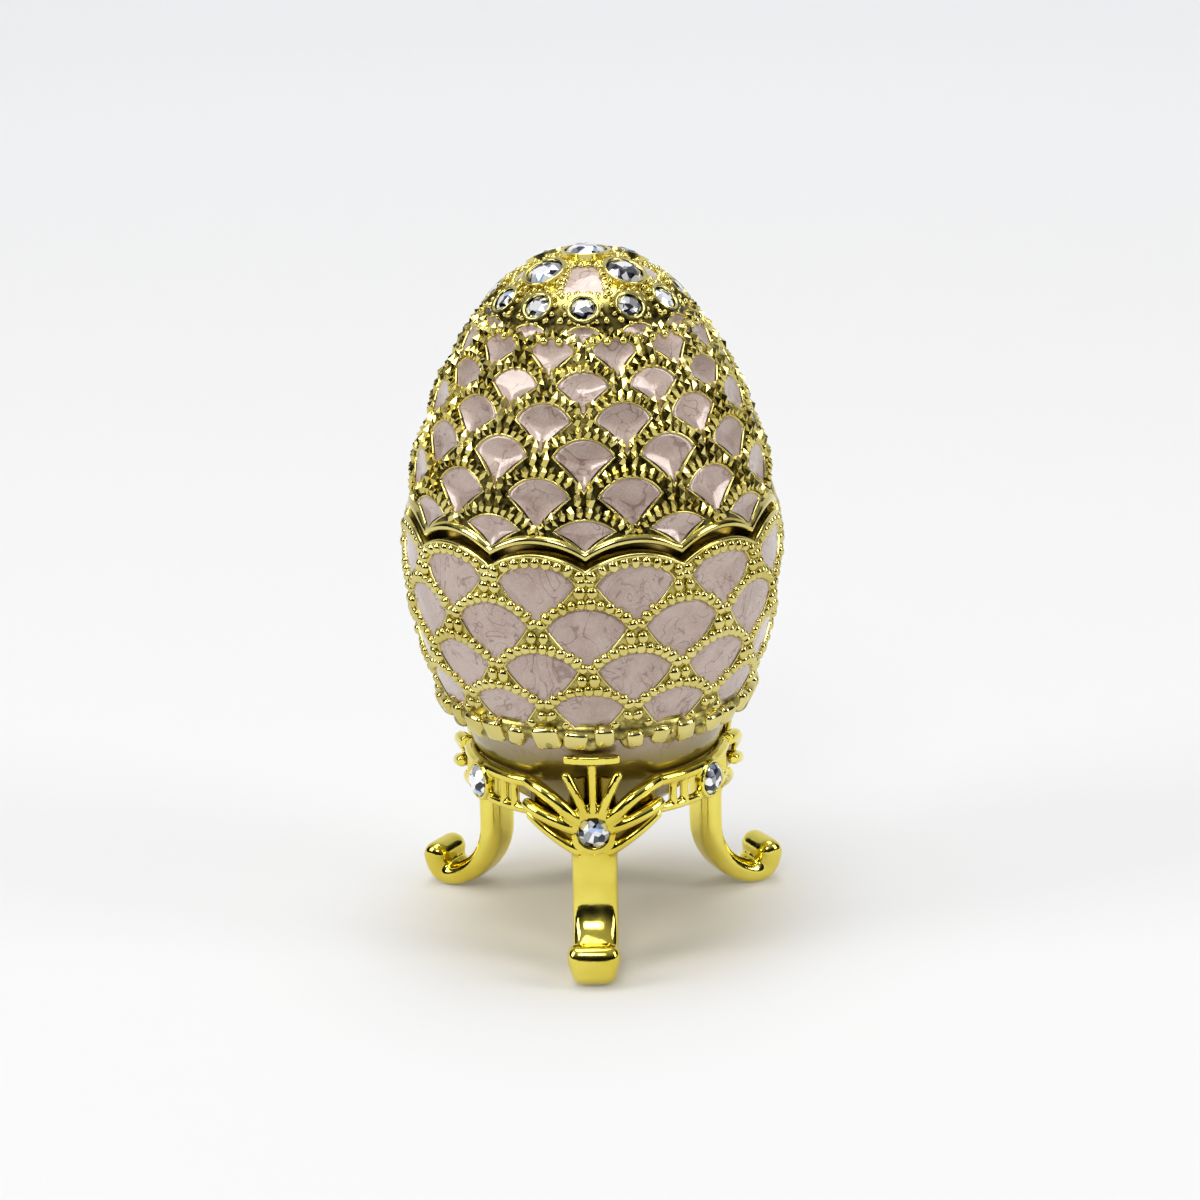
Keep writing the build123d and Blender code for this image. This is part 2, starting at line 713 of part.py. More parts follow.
leg_seat = skin_plane(0, boss_face, boss_z, 0)
gallery_seat = skin_plane(leg_angle / 2, gallery_face, gallery_boss_z, 0)
leg_start = Plane(origin=(0, -leg_line_radius, leg_bend_z), x_dir=(1, 0, 0), z_dir=(0, 0, 1))
curl_start = Plane(
    origin=(0, -foot_circle + curl_radius * bend_across, foot_z - curl_radius * bend_up),
    x_dir=(1, 0, 0),
    z_dir=(0, bend_up, bend_across),
)
with BuildPart() as foot_scroll:
    with BuildSketch(Plane(origin=(0, -scroll_circle, scroll_z), x_dir=(0, 1, 0), z_dir=(1, 0, 0))):
        Circle(scroll_radius)
    extrude(amount=scroll_width / 2, both=True)
    fillet(foot_scroll.edges().filter_by(GeomType.CIRCLE), radius=scroll_corner)

with BuildPart() as front_leg:
    with BuildSketch(leg_start):
        RectangleRounded(leg_width, leg_thickness, leg_corner)
    extrude(amount=boss_z - leg_bend_z)
    with BuildSketch(leg_start):
        RectangleRounded(leg_width, leg_thickness, leg_corner)
    revolve(axis=Axis((0, -leg_line_radius - leg_bend_radius, leg_bend_z), (-1, 0, 0)),
            revolution_arc=leg_bend_angle)
    with BuildSketch(curl_start):
        RectangleRounded(leg_width, leg_thickness, leg_corner)
    revolve(axis=Axis((0, -foot_circle, foot_z), (-1, 0, 0)), revolution_arc=curl_angle)
    add(foot_scroll.part)
    with BuildSketch(leg_seat):
        Circle(boss_radius)
    extrude(amount=-boss_depth)
    for side in (-1, 1):
        for shares, bar_radius in leaf_ribs:
            rib(leaf_points(shares, side), bar_radius)
    rib(leaf_points(stem_shares, 1) + [round_point(0, cap_radius, cap_z)], stem_radius)
    with BuildSketch(Plane.XY.offset(cap_z - cap_height / 2)):
        with Locations((0, -cap_radius)):
            Ellipse(cap_width / 2, cap_depth / 2)
    extrude(amount=cap_height)
    stone_seat(leg_seat)
    with BuildSketch():
        Circle(foot_circle + 2 * curl_radius + leg_thickness)
    extrude(amount=-leg_thickness, mode=Mode.SUBTRACT)
    wedge_reach = foot_circle + 2 * curl_radius + leg_thickness
    wedge_half = wedge_reach * math.tan(math.radians(leaf_half_angle))
    with BuildSketch():
        Polygon((0, 0), (-wedge_half, -wedge_reach), (wedge_half, -wedge_reach), align=None)
    extrude(amount=cap_top_z + overrun, mode=Mode.INTERSECT)
leg_casting = front_leg.part.solid()

with BuildPart() as right_gallery:
    ring_arc(ring_z, ring_bar_radius)
    ring_arc(lower_bar_z, lower_bar_radius)
    with BuildSketch(Plane.XY.offset(lower_bar_z)):
        for strut_offset in strut_offsets:
            for side in (-1, 1):
                with Locations(direction(leg_angle / 2 + side * strut_offset) * ring_radius):
                    Circle(strut_radius)
    extrude(amount=ring_z - lower_bar_z)
    with BuildSketch(gallery_seat):
        Circle(gallery_boss_radius)
    extrude(amount=-gallery_boss_depth)
    stone_seat(gallery_seat)

stand_pieces = []
for place, turn in (("front", 0), ("right", leg_angle), ("left", -leg_angle)):
    with BuildPart() as leg:
        add(leg_casting.rotate(Axis.Z, turn))
    leg.part.label = f"leg_{place}"
    with BuildPart() as leg_crystal:
        with Locations(leg_seat.offset(-stand_crystal_sink)):
            add(stand_crystal)
    with BuildPart() as turned_leg_crystal:
        add(leg_crystal.part.rotate(Axis.Z, turn))
    turned_leg_crystal.part.label = f"leg_crystal_{place}"
    stand_pieces += [leg, turned_leg_crystal]

for place, turn in (("right", 0), ("back", leg_angle), ("left", -leg_angle)):
    with BuildPart() as gallery:
        add(right_gallery.part.rotate(Axis.Z, turn))
    gallery.part.label = f"gallery_{place}"
    with BuildPart() as gallery_crystal:
        with Locations(gallery_seat.offset(-stand_crystal_sink)):
            add(stand_crystal)
    with BuildPart() as turned_gallery_crystal:
        add(gallery_crystal.part.rotate(Axis.Z, turn))
    turned_gallery_crystal.part.label = f"gallery_crystal_{place}"
    stand_pieces += [gallery, turned_gallery_crystal]

egg_pieces = [
    cup_shell, cup_enamel, base_enamel, rim_collar, cup_magnet, cup_hinge_leaf, hinge_pin,
    lid_shell, lid_enamel, crown_enamel, band_crystals, crown_crystals, top_crystal,
    lid_magnet, lid_hinge_leaf,
]
os.makedirs("parts", exist_ok=True)
for piece in egg_pieces + stand_pieces:
    export_step(piece.part, f"parts/{piece.part.label}.step")
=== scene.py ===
import cmath
import math
import random

import bmesh
import bpy
from mathutils import Matrix, Vector


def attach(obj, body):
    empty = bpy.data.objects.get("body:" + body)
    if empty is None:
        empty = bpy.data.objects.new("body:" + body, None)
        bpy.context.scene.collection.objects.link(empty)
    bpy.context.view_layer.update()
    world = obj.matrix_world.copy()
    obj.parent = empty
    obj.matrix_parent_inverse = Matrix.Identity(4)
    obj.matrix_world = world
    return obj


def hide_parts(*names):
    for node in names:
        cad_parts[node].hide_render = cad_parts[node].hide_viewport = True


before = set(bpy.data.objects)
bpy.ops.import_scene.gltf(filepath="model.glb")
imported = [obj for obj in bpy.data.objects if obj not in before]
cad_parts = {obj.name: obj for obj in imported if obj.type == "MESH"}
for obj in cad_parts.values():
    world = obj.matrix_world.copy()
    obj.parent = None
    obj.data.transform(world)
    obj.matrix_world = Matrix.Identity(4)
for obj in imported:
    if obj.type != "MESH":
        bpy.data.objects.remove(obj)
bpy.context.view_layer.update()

# The tabletop and wall are one sheet of white card that curves up behind the egg.
# It shows nearly white to the camera and in the gold, and keeps the soft shadow under the stand.
CARD_COLOR = (0.74, 0.74, 0.745, 1.0)
CARD_SHOWN = (0.915, 0.915, 0.91, 1.0)
CARD_TOP_SHOWN = (1.04, 1.06, 1.09, 1.0)
# CARD_PAINTED_GOLD_LIGHT is painted light: a warm, slightly darker tint on the card round the stand,
# standing for light that the gold throws back onto it.
CARD_PAINTED_GOLD_LIGHT = (0.71, 0.65, 0.50, 1.0)
PAINTED_GOLD_LIGHT_REACH = (0.006, 0.027)
CARD_GLOW = (0.08, 0.45)
GLOW_REACH = (0.010, 0.032)
CARD_FAR = (0.2, 0.55)
FIBRE_SCALE = 900.0
CARD_HALF_WIDTH = 1.4
CARD_FRONT = -1.2
CARD_BEND_START = 0.55
CARD_BEND = 0.35
CARD_HEIGHT = 1.3
CARD_BEND_STEPS = 16


class Wire:
    """An output of a material's nodes, on which sums, products and powers can be written."""

    def __init__(self, tree, output):
        self.tree = tree
        self.output = output

    def node(self, kind, settings, inputs, output=0):
        made = self.tree.nodes.new(kind)
        for name, value in settings.items():
            if name == "stops":
                ramp = made.color_ramp
                while len(ramp.elements) < len(value):
                    ramp.elements.new(0.5)
                for element, (position, color) in zip(ramp.elements, value):
                    element.position = position
                    element.color = color
            elif name == "interpolation":
                made.color_ramp.interpolation = value
            else:
                setattr(made, name, value)
        for name, value in inputs.items():
            if isinstance(value, Wire):
                self.tree.links.new(value.output, made.inputs[name])
            else:
                made.inputs[name].default_value = value
        return Wire(self.tree, made.outputs[output])

    def calculate(self, operation, first, second):
        return self.node("ShaderNodeMath", {"operation": operation}, {0: first, 1: second})

    def __add__(self, other):
        return self.calculate("ADD", self, other)

    def __radd__(self, other):
        return self.calculate("ADD", other, self)

    def __sub__(self, other):
        return self.calculate("SUBTRACT", self, other)

    def __rsub__(self, other):
        return self.calculate("SUBTRACT", other, self)

    def __mul__(self, other):
        return self.calculate("MULTIPLY", self, other)

    def __rmul__(self, other):
        return self.calculate("MULTIPLY", other, self)

    def __pow__(self, other):
        return self.calculate("POWER", self, other)

    def clamped(self):
        return self.node("ShaderNodeClamp", {}, {"Value": self})

    def step(self, low, high):
        """A share that rises smoothly from 0 at low to 1 at high."""
        return self.node("ShaderNodeMapRange", {"interpolation_type": "SMOOTHSTEP"},
                         {"Value": self, "From Min": low, "From Max": high})

    def blend(self, first, second):
        """The first colour where this share is 0, and the second where it is 1."""
        return self.node("ShaderNodeMix", {"data_type": "RGBA"}, {0: self, 6: first, 7: second}, 2)

    def noise(self, scale, detail=2.0, distortion=0.0):
        return self.node("ShaderNodeTexNoise", {}, {"Vector": self, "Scale": scale, "Detail": detail,
                                                    "Distortion": distortion})

    def bump(self, height, strength, distance, normal=None):
        inputs = {"Height": height, "Strength": strength, "Distance": distance}
        if normal is not None:
            inputs["Normal"] = normal
        return self.node("ShaderNodeBump", {}, inputs)


def start_material(name):
    """A new material, its surface shader, and the place on the object as a wire."""
    material = bpy.data.materials.new(name)
    material.use_nodes = True
    tree = material.node_tree
    shader = tree.nodes["Principled BSDF"]
    place = Wire(tree, tree.nodes.new("ShaderNodeTexCoord").outputs["Object"])
    return material, shader, place


def feed(shader, **inputs):
    """Sets or links sockets of a surface shader; a name's underscores stand for spaces."""
    for name, value in inputs.items():
        socket = shader.inputs[name.replace("_", " ")]
        if isinstance(value, Wire):
            value.tree.links.new(value.output, socket)
        else:
            socket.default_value = value


card_mesh = bmesh.new()
card_line = [(CARD_FRONT, 0.0)]
card_line += [
    (CARD_BEND_START + CARD_BEND * math.sin(turn), CARD_BEND * (1 - math.cos(turn)))
    for turn in [math.pi / 2 * k / CARD_BEND_STEPS for k in range(CARD_BEND_STEPS + 1)]
]
card_line.append((CARD_BEND_START + CARD_BEND, CARD_HEIGHT))
card_verts = [card_mesh.verts.new((-CARD_HALF_WIDTH, y, z)) for y, z in card_line]
card_edges = [card_mesh.edges.new(pair) for pair in zip(card_verts, card_verts[1:])]
card_side = bmesh.ops.extrude_edge_only(card_mesh, edges=card_edges)["geom"]
bmesh.ops.translate(card_mesh, vec=(2 * CARD_HALF_WIDTH, 0, 0),
                    verts=[v for v in card_side if isinstance(v, bmesh.types.BMVert)])
bmesh.ops.recalc_face_normals(card_mesh, faces=card_mesh.faces)
card_data = bpy.data.meshes.new("card")
card_mesh.to_mesh(card_data)
card_data.shade_smooth()
card = bpy.data.objects.new("card", card_data)
bpy.context.scene.collection.objects.link(card)
card_material, card_shader, card_place = start_material("white_card")
card_path = card_place.tree.nodes.new("ShaderNodeLightPath")
card_seen = sum(
    (Wire(card_place.tree, card_path.outputs[ray])
     for ray in ("Is Glossy Ray", "Is Transmission Ray")),
    Wire(card_place.tree, card_path.outputs["Is Camera Ray"]),
).clamped()
card_depth = card_place.node("ShaderNodeSeparateXYZ", {}, {0: card_place}, 1)
card_shown = card_depth.step(*CARD_FAR).blend(CARD_SHOWN, CARD_TOP_SHOWN)
card_reach = card_place.node("ShaderNodeVectorMath", {"operation": "LENGTH"}, {0: card_place}, 1)
# Painted light: the card's colour turns warm near the stand, as if lit by the gold.
card_painted_light_color = card_reach.step(*PAINTED_GOLD_LIGHT_REACH).blend(CARD_PAINTED_GOLD_LIGHT, CARD_COLOR)
card_fibre = card_place.noise(FIBRE_SCALE, 3.0)
feed(card_shader, Base_Color=card_painted_light_color, Roughness=0.85 + card_fibre * 0.1, Specular_IOR_Level=0.0,
     Normal=card_place.bump(card_fibre, 0.05, 0.0001))
card_glow = card_place.node("ShaderNodeEmission", {}, {"Color": card_shown})
card_mix = card_place.node("ShaderNodeMixShader", {}, {
    0: card_seen * (CARD_GLOW[0] + card_reach.step(*GLOW_REACH) * (CARD_GLOW[1] - CARD_GLOW[0])),
    1: Wire(card_place.tree, card_shader.outputs[0]),
    2: card_glow,
})
card_place.tree.links.new(card_mix.output,
                          card_place.tree.nodes["Material Output"].inputs["Surface"])
card_data.materials.append(card_material)

# Soft boxes stand above, at the left and at the right, in a room that is darker behind the camera,
# so that the polished gold shows bright panes beside dark ones.
ROOM_DARK = (0.012, 0.012, 0.014, 1.0)
ROOM_LIGHT = (0.75, 0.75, 0.77, 1.0)
ROOM_FADE = (0.25, 1.0)
ROOM_STRENGTH = 0.6
SOFT_BOXES = (
    ("box_top", (-0.05, 0.05, 0.90), (0.8, 0.5), 5.0),
    ("box_left", (-0.80, -0.30, 0.55), (0.35, 0.6), 4.2),
    ("box_right", (0.80, -0.25, 0.45), (0.3, 0.6), 3.4),
    ("box_front", (-0.15, -0.85, 0.80), (0.35, 0.25), 2.6),
)
AIM = Vector((0.0, 0.0, 0.03))
world = bpy.data.worlds.new("room")
world.use_nodes = True
bpy.context.scene.world = world
room = Wire(world.node_tree, world.node_tree.nodes.new("ShaderNodeTexCoord").outputs["Generated"])
room_up = room.node("ShaderNodeSeparateXYZ", {}, {0: room}, 2)
room_color = room_up.step(*ROOM_FADE).blend(ROOM_DARK, ROOM_LIGHT)
world.node_tree.links.new(room_color.output, world.node_tree.nodes["Background"].inputs["Color"])
world.node_tree.nodes["Background"].inputs["Strength"].default_value = ROOM_STRENGTH
for box_name, box_place, box_size, box_power in SOFT_BOXES:
    lamp = bpy.data.lights.new(box_name, "AREA")
    lamp.shape = "RECTANGLE"
    lamp.size, lamp.size_y = box_size
    lamp.energy = box_power
    lamp_object = bpy.data.objects.new(box_name, lamp)
    lamp_object.location = box_place
    lamp_object.rotation_mode = "QUATERNION"
    lamp_object.rotation_quaternion = (AIM - Vector(box_place)).to_track_quat("-Z", "Y")
    bpy.context.scene.collection.objects.link(lamp_object)

# The camera looks down on the egg from a little left of the front leg, with a long lens.
CAMERA_TURN = math.radians(2.2)
CAMERA_DOWN = math.radians(17.54)
CAMERA_ROLL = math.radians(-1.3)
CAMERA_PLACE = Vector((0.00058, -0.3147, 0.1304))
CAMERA_LENS = 107.28
SENSOR_WIDTH = 36.0
NEAREST_SEEN = 0.01
camera_data = bpy.data.cameras.new("camera")
camera_data.lens = CAMERA_LENS
camera_data.sensor_width = SENSOR_WIDTH
camera_data.clip_start = NEAREST_SEEN
camera = bpy.data.objects.new("camera", camera_data)
camera_turn = Matrix.Rotation(CAMERA_TURN, 4, "Z")
camera.matrix_world = (
    camera_turn
    @ Matrix.Translation(CAMERA_PLACE)
    @ Matrix.Rotation(math.pi / 2 - CAMERA_DOWN, 4, "X")
    @ Matrix.Rotation(CAMERA_ROLL, 4, "Z")
)
bpy.context.scene.collection.objects.link(camera)
bpy.context.scene.camera = camera
bpy.context.scene.view_settings.view_transform = "Standard"

# The stand is cast in brass and polished, then plated deep yellow gold. Its legs and gallery
# are redrawn from their solids with the soft joins and edges that casting and buffing leave.
STAND_GOLD = (0.90, 0.78, 0.15, 1.0)
STAND_GOLD_DEEP = (0.70, 0.56, 0.07, 1.0)
DRIFT_SCALE = 120.0
HAZE_SCALE = 900.0
HAZE_ROUGHNESS = 0.10
WELD = 1e-6
CAST_VOXEL = 0.00013
CAST_SMOOTHING = 5
BUFFED_BELOW = 0.0105
BUFFING = 60
SMOOTH_SHARE = 0.5
LEG_NODES = ("leg_front", "leg_right", "leg_left")
GALLERY_NODES = ("gallery_right", "gallery_back", "gallery_left")


def gold_material(name, color, deep, rough, grain):
    """Polished gold plating: slow colour drift, faint cast dimples, and a hazed finish."""
    material, shader, place = start_material(name)
    drift = place.noise(DRIFT_SCALE, 3.0).step(0.35, 0.7)
    haze = place.noise(HAZE_SCALE, 4.0)
    dimples = place.noise(grain, 2.0)
    feed(shader, Base_Color=drift.blend(color, deep), Metallic=1.0,
         Roughness=rough + haze.step(0.4, 0.8) * HAZE_ROUGHNESS,
         Normal=place.bump(dimples, 0.25, 0.0001))
    return material


def new_piece(name, mesh, material, body, smooth=True):
    """Object of a finished mesh that rides on a body."""
    data = bpy.data.meshes.new(name)
    mesh.to_mesh(data)
    mesh.free()
    if smooth:
        data.shade_smooth()
    data.materials.append(material)
    made = bpy.data.objects.new(name, data)
    bpy.context.scene.collection.objects.link(made)
    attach(made, body)
    return made


def cast_copy(node, material):
    """Copy of a cast solid, remeshed so that its bars flow into each other."""
    mesh = bmesh.new()
    mesh.from_mesh(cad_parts[node].data)
    bmesh.ops.remove_doubles(mesh, verts=mesh.verts, dist=WELD)
    data = bpy.data.meshes.new(node)
    mesh.to_mesh(data)
    mesh.free()
    rough = bpy.data.objects.new(node + "_rough", data)
    bpy.context.scene.collection.objects.link(rough)
    remesh = rough.modifiers.new("remesh", "REMESH")
    remesh.mode = "VOXEL"
    remesh.voxel_size = CAST_VOXEL
    soften = rough.modifiers.new("soften", "SMOOTH")
    soften.factor = SMOOTH_SHARE
    soften.iterations = CAST_SMOOTHING
    graph = bpy.context.evaluated_depsgraph_get()
    cast = bmesh.new()
    cast.from_mesh(bpy.data.meshes.new_from_object(rough.evaluated_get(graph)))
    bpy.data.objects.remove(rough)
    low = [vert for vert in cast.verts if vert.co.z < BUFFED_BELOW]
    for _ in range(BUFFING):
        bmesh.ops.smooth_vert(cast, verts=low, factor=SMOOTH_SHARE, use_axis_x=True,
                              use_axis_y=True, use_axis_z=True)
    made = new_piece(node + "_cast", cast, material, "stand")
    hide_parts(node)


stand_gold = gold_material("stand_gold", STAND_GOLD, STAND_GOLD_DEEP, 0.10, 700.0)
for stand_node in LEG_NODES + GALLERY_NODES:
    cast_copy(stand_node, stand_gold)

# Between the ribs of each leaf a thin dark, dull sheet is put as painted shade, standing for the shadow
# between the ribs. It is one with the leg and stands just behind the ribs.
LEG_AZIMUTHS = (0, 120, 240)
BAR_TOP = 0.00005
LEAF_HALF_ANGLE = 30.0
LEAF_FOOT_Z = 0.0129
LEAF_HEIGHT = 0.0041
LEAF_BULGE = 0.0016
UPPER_EDGE = ((0.22, 0.70, 0.25), (0.60, 0.90, 0.90), (1.05, 0.0, 1.0))
LOWER_EDGE = ((0.20, 0.35, -0.50), (0.58, 0.45, -0.10), (1.05, 0.0, 0.33))
MIDDLE_TOP = 1.30
MIDDLE_EDGE = (0.27, 0.36)
WEB_SPAN = 0.98
WEB_FOOT = -0.35
WEB_COLUMNS = 48
WEB_ROWS = 10
WEB_BEHIND = 0.00025
WEB_THICKNESS = 0.00025
# The web gold and its deeper tone are painted shade: the dark between the leaf's ribs.
WEB_SHADE_GOLD = (0.34, 0.25, 0.035, 1.0)
WEB_SHADE_GOLD_DEEP = (0.12, 0.085, 0.012, 1.0)


def through(points, at, item):
    """Value at a place on the smooth line through three points of a rib."""
    total = 0.0
    for point in points:
        share = point[item]
        for other in points:
            if other is not point:
                share *= (at - other[0]) / (point[0] - other[0])
        total += share
    return total


def leaf_shade_web(mesh, azimuth, ring_radius):
    """Closed dark sheet just behind the ribs of a leaf, from its lower to its upper rib, set there as
    painted shade.
    """
    sheet = bmesh.ops.create_grid(mesh, x_segments=WEB_COLUMNS, y_segments=WEB_ROWS, size=1)["verts"]
    for vert in sheet:
        turn, share = abs(vert.co.x) * WEB_SPAN, (vert.co.y + 1) / 2
        aside = min(1, max(0, (turn - MIDDLE_EDGE[0]) / (MIDDLE_EDGE[1] - MIDDLE_EDGE[0])))
        top = MIDDLE_TOP + (through(UPPER_EDGE, turn, 2) - MIDDLE_TOP) * aside
        low = max(WEB_FOOT, through(LOWER_EDGE, turn, 2))
        bulge = through(LOWER_EDGE, turn, 1) * (1 - share) + through(UPPER_EDGE, turn, 1) * share
        radius = ring_radius + LEAF_BULGE * bulge - WEB_BEHIND
        angle = math.radians(azimuth - 90 + math.copysign(turn, vert.co.x) * LEAF_HALF_ANGLE)
        vert.co = (radius * math.cos(angle), radius * math.sin(angle),
                   LEAF_FOOT_Z + LEAF_HEIGHT * (low + (top - low) * share))
    faces = list(dict.fromkeys(face for vert in sheet for face in vert.link_faces))
    bmesh.ops.solidify(mesh, geom=faces, thickness=WEB_THICKNESS)


bar_tops = [vert.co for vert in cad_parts["gallery_back"].data.vertices]
bar_height = max(point.z for point in bar_tops)
bar_reach = [math.hypot(point.x, point.y) for point in bar_tops if point.z > bar_height - BAR_TOP]
ring_radius = sum(bar_reach) / len(bar_reach)
shade_webs = bmesh.new()
for azimuth in LEG_AZIMUTHS:
    leaf_shade_web(shade_webs, azimuth, ring_radius)
bmesh.ops.recalc_face_normals(shade_webs, faces=shade_webs.faces)
# The webs' dark gold is painted shade.
web_painted_shade = gold_material("web_painted_shade", WEB_SHADE_GOLD, WEB_SHADE_GOLD_DEEP, 0.20, 500.0)
new_piece("leaf_shade_webs", shade_webs, web_painted_shade, "stand")

# Cut glass stones with a foil behind them; their dark and bright facets are painted reflections in the
# colour.
# The same cut in four sizes sits at the leg tops, in the gallery, round the crown and on the very top.
STONE_NODES = (
    ("leg_crystal_front", "stand"), ("leg_crystal_right", "stand"), ("leg_crystal_left", "stand"),
    ("gallery_crystal_right", "stand"), ("gallery_crystal_back", "stand"),
    ("gallery_crystal_left", "stand"), ("band_crystals", "lid"), ("crown_crystals", "lid"),
    ("top_crystal", "lid"),
)
STONE_TABLE = (0.52, 0.42)
STONE_SHOULDER = (0.84, 0.22)
STONE_GIRDLE = 0.06
STONE_CULET = (0.3, -0.5)
STONE_FACETS = 8
PATCH_SCALE = 1500.0
RIM_SHARE = 0.93
# The stone tones are painted reflections: dark and bright patches that stand for the facets' glints.
STONE_PAINTED_REFLECTIONS = (
    (0.0, (0.008, 0.009, 0.014, 1)), (0.30, (0.06, 0.07, 0.12, 1)), (0.38, (0.33, 0.35, 0.38, 1)),
    (0.50, (0.84, 0.85, 0.86, 1)), (0.64, (1.0, 1.0, 1.0, 1)), (0.93, (0.45, 0.60, 0.92, 1)),
)


def stone_material():
    """Foiled glass with painted reflections: each patch of the pavilion is coloured black, blue-grey or
    white.
    """
    material, shader, place = start_material("crystal_painted_reflections")
    cells = place.node("ShaderNodeTexVoronoi", {}, {"Vector": place, "Scale": PATCH_SCALE}, 1)
    pick = place.node("ShaderNodeSeparateColor", {}, {0: cells}, 0)
    painted_reflection = place.node("ShaderNodeValToRGB", {"interpolation": "CONSTANT", "stops": STONE_PAINTED_REFLECTIONS},
                      {"Fac": pick})
    feed(shader, Base_Color=painted_reflection, Metallic=0.55, Roughness=0.06, Coat_Weight=1.0, Coat_Roughness=0.02)
    return material


def stone_frames(node):
    """Centre, outward direction and radius of each stone, read from its solid's rim and table."""
    mesh = bmesh.new()
    mesh.from_mesh(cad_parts[node].data)
    bmesh.ops.remove_doubles(mesh, verts=mesh.verts, dist=WELD)
    left = dict.fromkeys(mesh.verts)
    found = []
    while left:
        stone, edge = [], [left.popitem()[0]]
        while edge:
            vert = edge.pop()
            stone.append(vert)
            for link in vert.link_edges:
                other = link.other_vert(vert)
                if other in left:
                    del left[other]
                    edge.append(other)
        middle = sum((vert.co for vert in stone), Vector()) / len(stone)
        reach = max((vert.co - middle).length for vert in stone)
        rim = [vert.co for vert in stone if (vert.co - middle).length > RIM_SHARE * reach]
        centre = sum(rim, Vector()) / len(rim)
        table = max((face for vert in stone for face in vert.link_faces), key=lambda f: f.calc_area())
        found.append((centre, table.normal.copy(), (rim[0] - centre).length))
    mesh.free()
    return found


def edges_of(verts):
    """The edges at some points of a mesh, each once and always in the same order."""
    return list(dict.fromkeys(edge for vert in verts for edge in vert.link_edges))


def cut_stone(mesh, centre, normal, radius):
    """Brilliant cut: table, shoulder and girdle points, with flat facets between them."""
    turn = normal.to_track_quat("Z", "Y").to_matrix().to_4x4()
    corners = []
    for share, rise, offset, count in (
        (*STONE_TABLE, 0.0, STONE_FACETS),
        (*STONE_SHOULDER, 0.5, STONE_FACETS),
        (1.0, STONE_GIRDLE, 0.5, 2 * STONE_FACETS),
        (1.0, -STONE_GIRDLE, 0.5, 2 * STONE_FACETS),
        (*STONE_CULET, 0.0, STONE_FACETS),
    ):
        ring = bmesh.ops.create_circle(mesh, segments=count, radius=share * radius)["verts"]
        place = (Matrix.Translation(centre) @ turn
                 @ Matrix.Translation((0, 0, rise * radius))
                 @ Matrix.Rotation(2 * math.pi * offset / count, 4, "Z"))
        bmesh.ops.transform(mesh, matrix=place, verts=ring)
        corners += ring
    bmesh.ops.delete(mesh, geom=edges_of(corners), context="EDGES_FACES")
    bmesh.ops.convex_hull(mesh, input=corners)


painted_reflection_crystal = stone_material()
stone_places = {}
for stone_node, stone_body in STONE_NODES:
    stones = bmesh.new()
    stone_places[stone_node] = stone_frames(stone_node)
    for stone_centre, stone_normal, stone_radius in stone_places[stone_node]:
        cut_stone(stones, stone_centre, stone_normal, stone_radius)
    cut = new_piece(stone_node + "_cut", stones, painted_reflection_crystal, stone_body, smooth=False)
    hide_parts(stone_node)

# The cup is a gold-plated casting. Its round base and its pockets carry pink pearl enamel,
# and its ridges, rim and foot band are worked into beads.
EGG_GOLD = (0.74, 0.65, 0.235, 1.0)
EGG_GOLD_DEEP = (0.60, 0.50, 0.13, 1.0)
EGG_DRIFT_SCALE = 150.0
SHADE_PATCH_SCALE = 1500.0
DULL_HAZE_SCALE = 900.0
DIMPLE_SCALE = 1000.0
# The cup's recess colours are painted shade: the dark gold that shows in the gaps between the beads and
# tiles.
CUP_PAINTED_SHADE = ((0.20, 0.165, 0.045, 1.0), (0.52, 0.44, 0.13, 1.0))
COLUMNS = 12
CUP_ARC = (-0.0144, 0.0365, 0.0315)
CUP_ROWS = (
    (0.6, 0.76, 0.0051, 0.5),
    (-6.9, 0.78, 0.0055, 0.0),
    (-14.5, 0.77, 0.0051, 0.5),
    (-21.6, 0.76, 0.0046, 0.0),
)
CELL_CORNER = 0.16
CUP_FIT = (-0.025, 0.00026, 0.00014, 0.00055)
BEAD_PITCH = 0.00086
CUP_BEAD = (0.0005, 0.00061, 0.00045)
RIM_VALLEY = 0.0388
RIM_RISE = 0.0015
RIM_WIRE = ((-0.0002, 0.0), (0.0001, 0.0001), (0.00028, 0.0), (0.0003, -0.0002), (0.0, -0.0004))
RIM_BEAD = (0.0005208, 0.00062, 0.000434)
RIM_BEAD_PITCH = 0.00105
RIM_BEAD_DROP = 0.00072
RIM_STRETCH = 1.05
RIM_CLEAR = 0.0012
EGG_RADIUS = 0.0171
LINING_DEPTH = 0.0007
LINING_BLEND = 0.0001
NEVER_BARE = (0.599, 0.601)
CELL_STEPS = (14, 8)
CELL_WIRE = ((-0.00006, -0.0002), (-0.00003, 0.00008), (0.00007, 0.00014), (0.00017, 0.00008),
             (0.0002, -0.0002))
CUP_DISH = (-0.00004, 0.00006)
DISH_SHARES = (1.0, 0.92, 0.78, 0.60, 0.40, 0.20)
DISH_POWER = 1.6
DISH_SOFTENING = 6
BEAD_PROUD = 0.00002
BEAD_VARIES = 0.16
BEAD_STRAYS = 0.12
RIDGE_SHARE = 0.42
RIDGE_OUT = 0.00012
RIDGE_END = 0.0001
RIDGE_STEPS = 24
RIDGE_GAP = 0.7
SIDE_OUT = 0.00085
SIDE_GAP = 0.95
SIDES_BELOW = 32.0
ARCHES_BELOW = 36.0
CROSSING = ((-0.00056, 0.00105, 1.2), (0.00056, 0.00105, 1.2), (-0.0005, 0.0021, 1.1),
            (0.0005, 0.0021, 1.1))
EDGE_STEPS = 16 * COLUMNS
LUG_COUNT = 34
LUG_Z = 0.0226
LUG_LIFT = 0.0002
LUG_TURN = 1.6
LUG_RISE = 0.00025
LUG_TILT = 0.00004
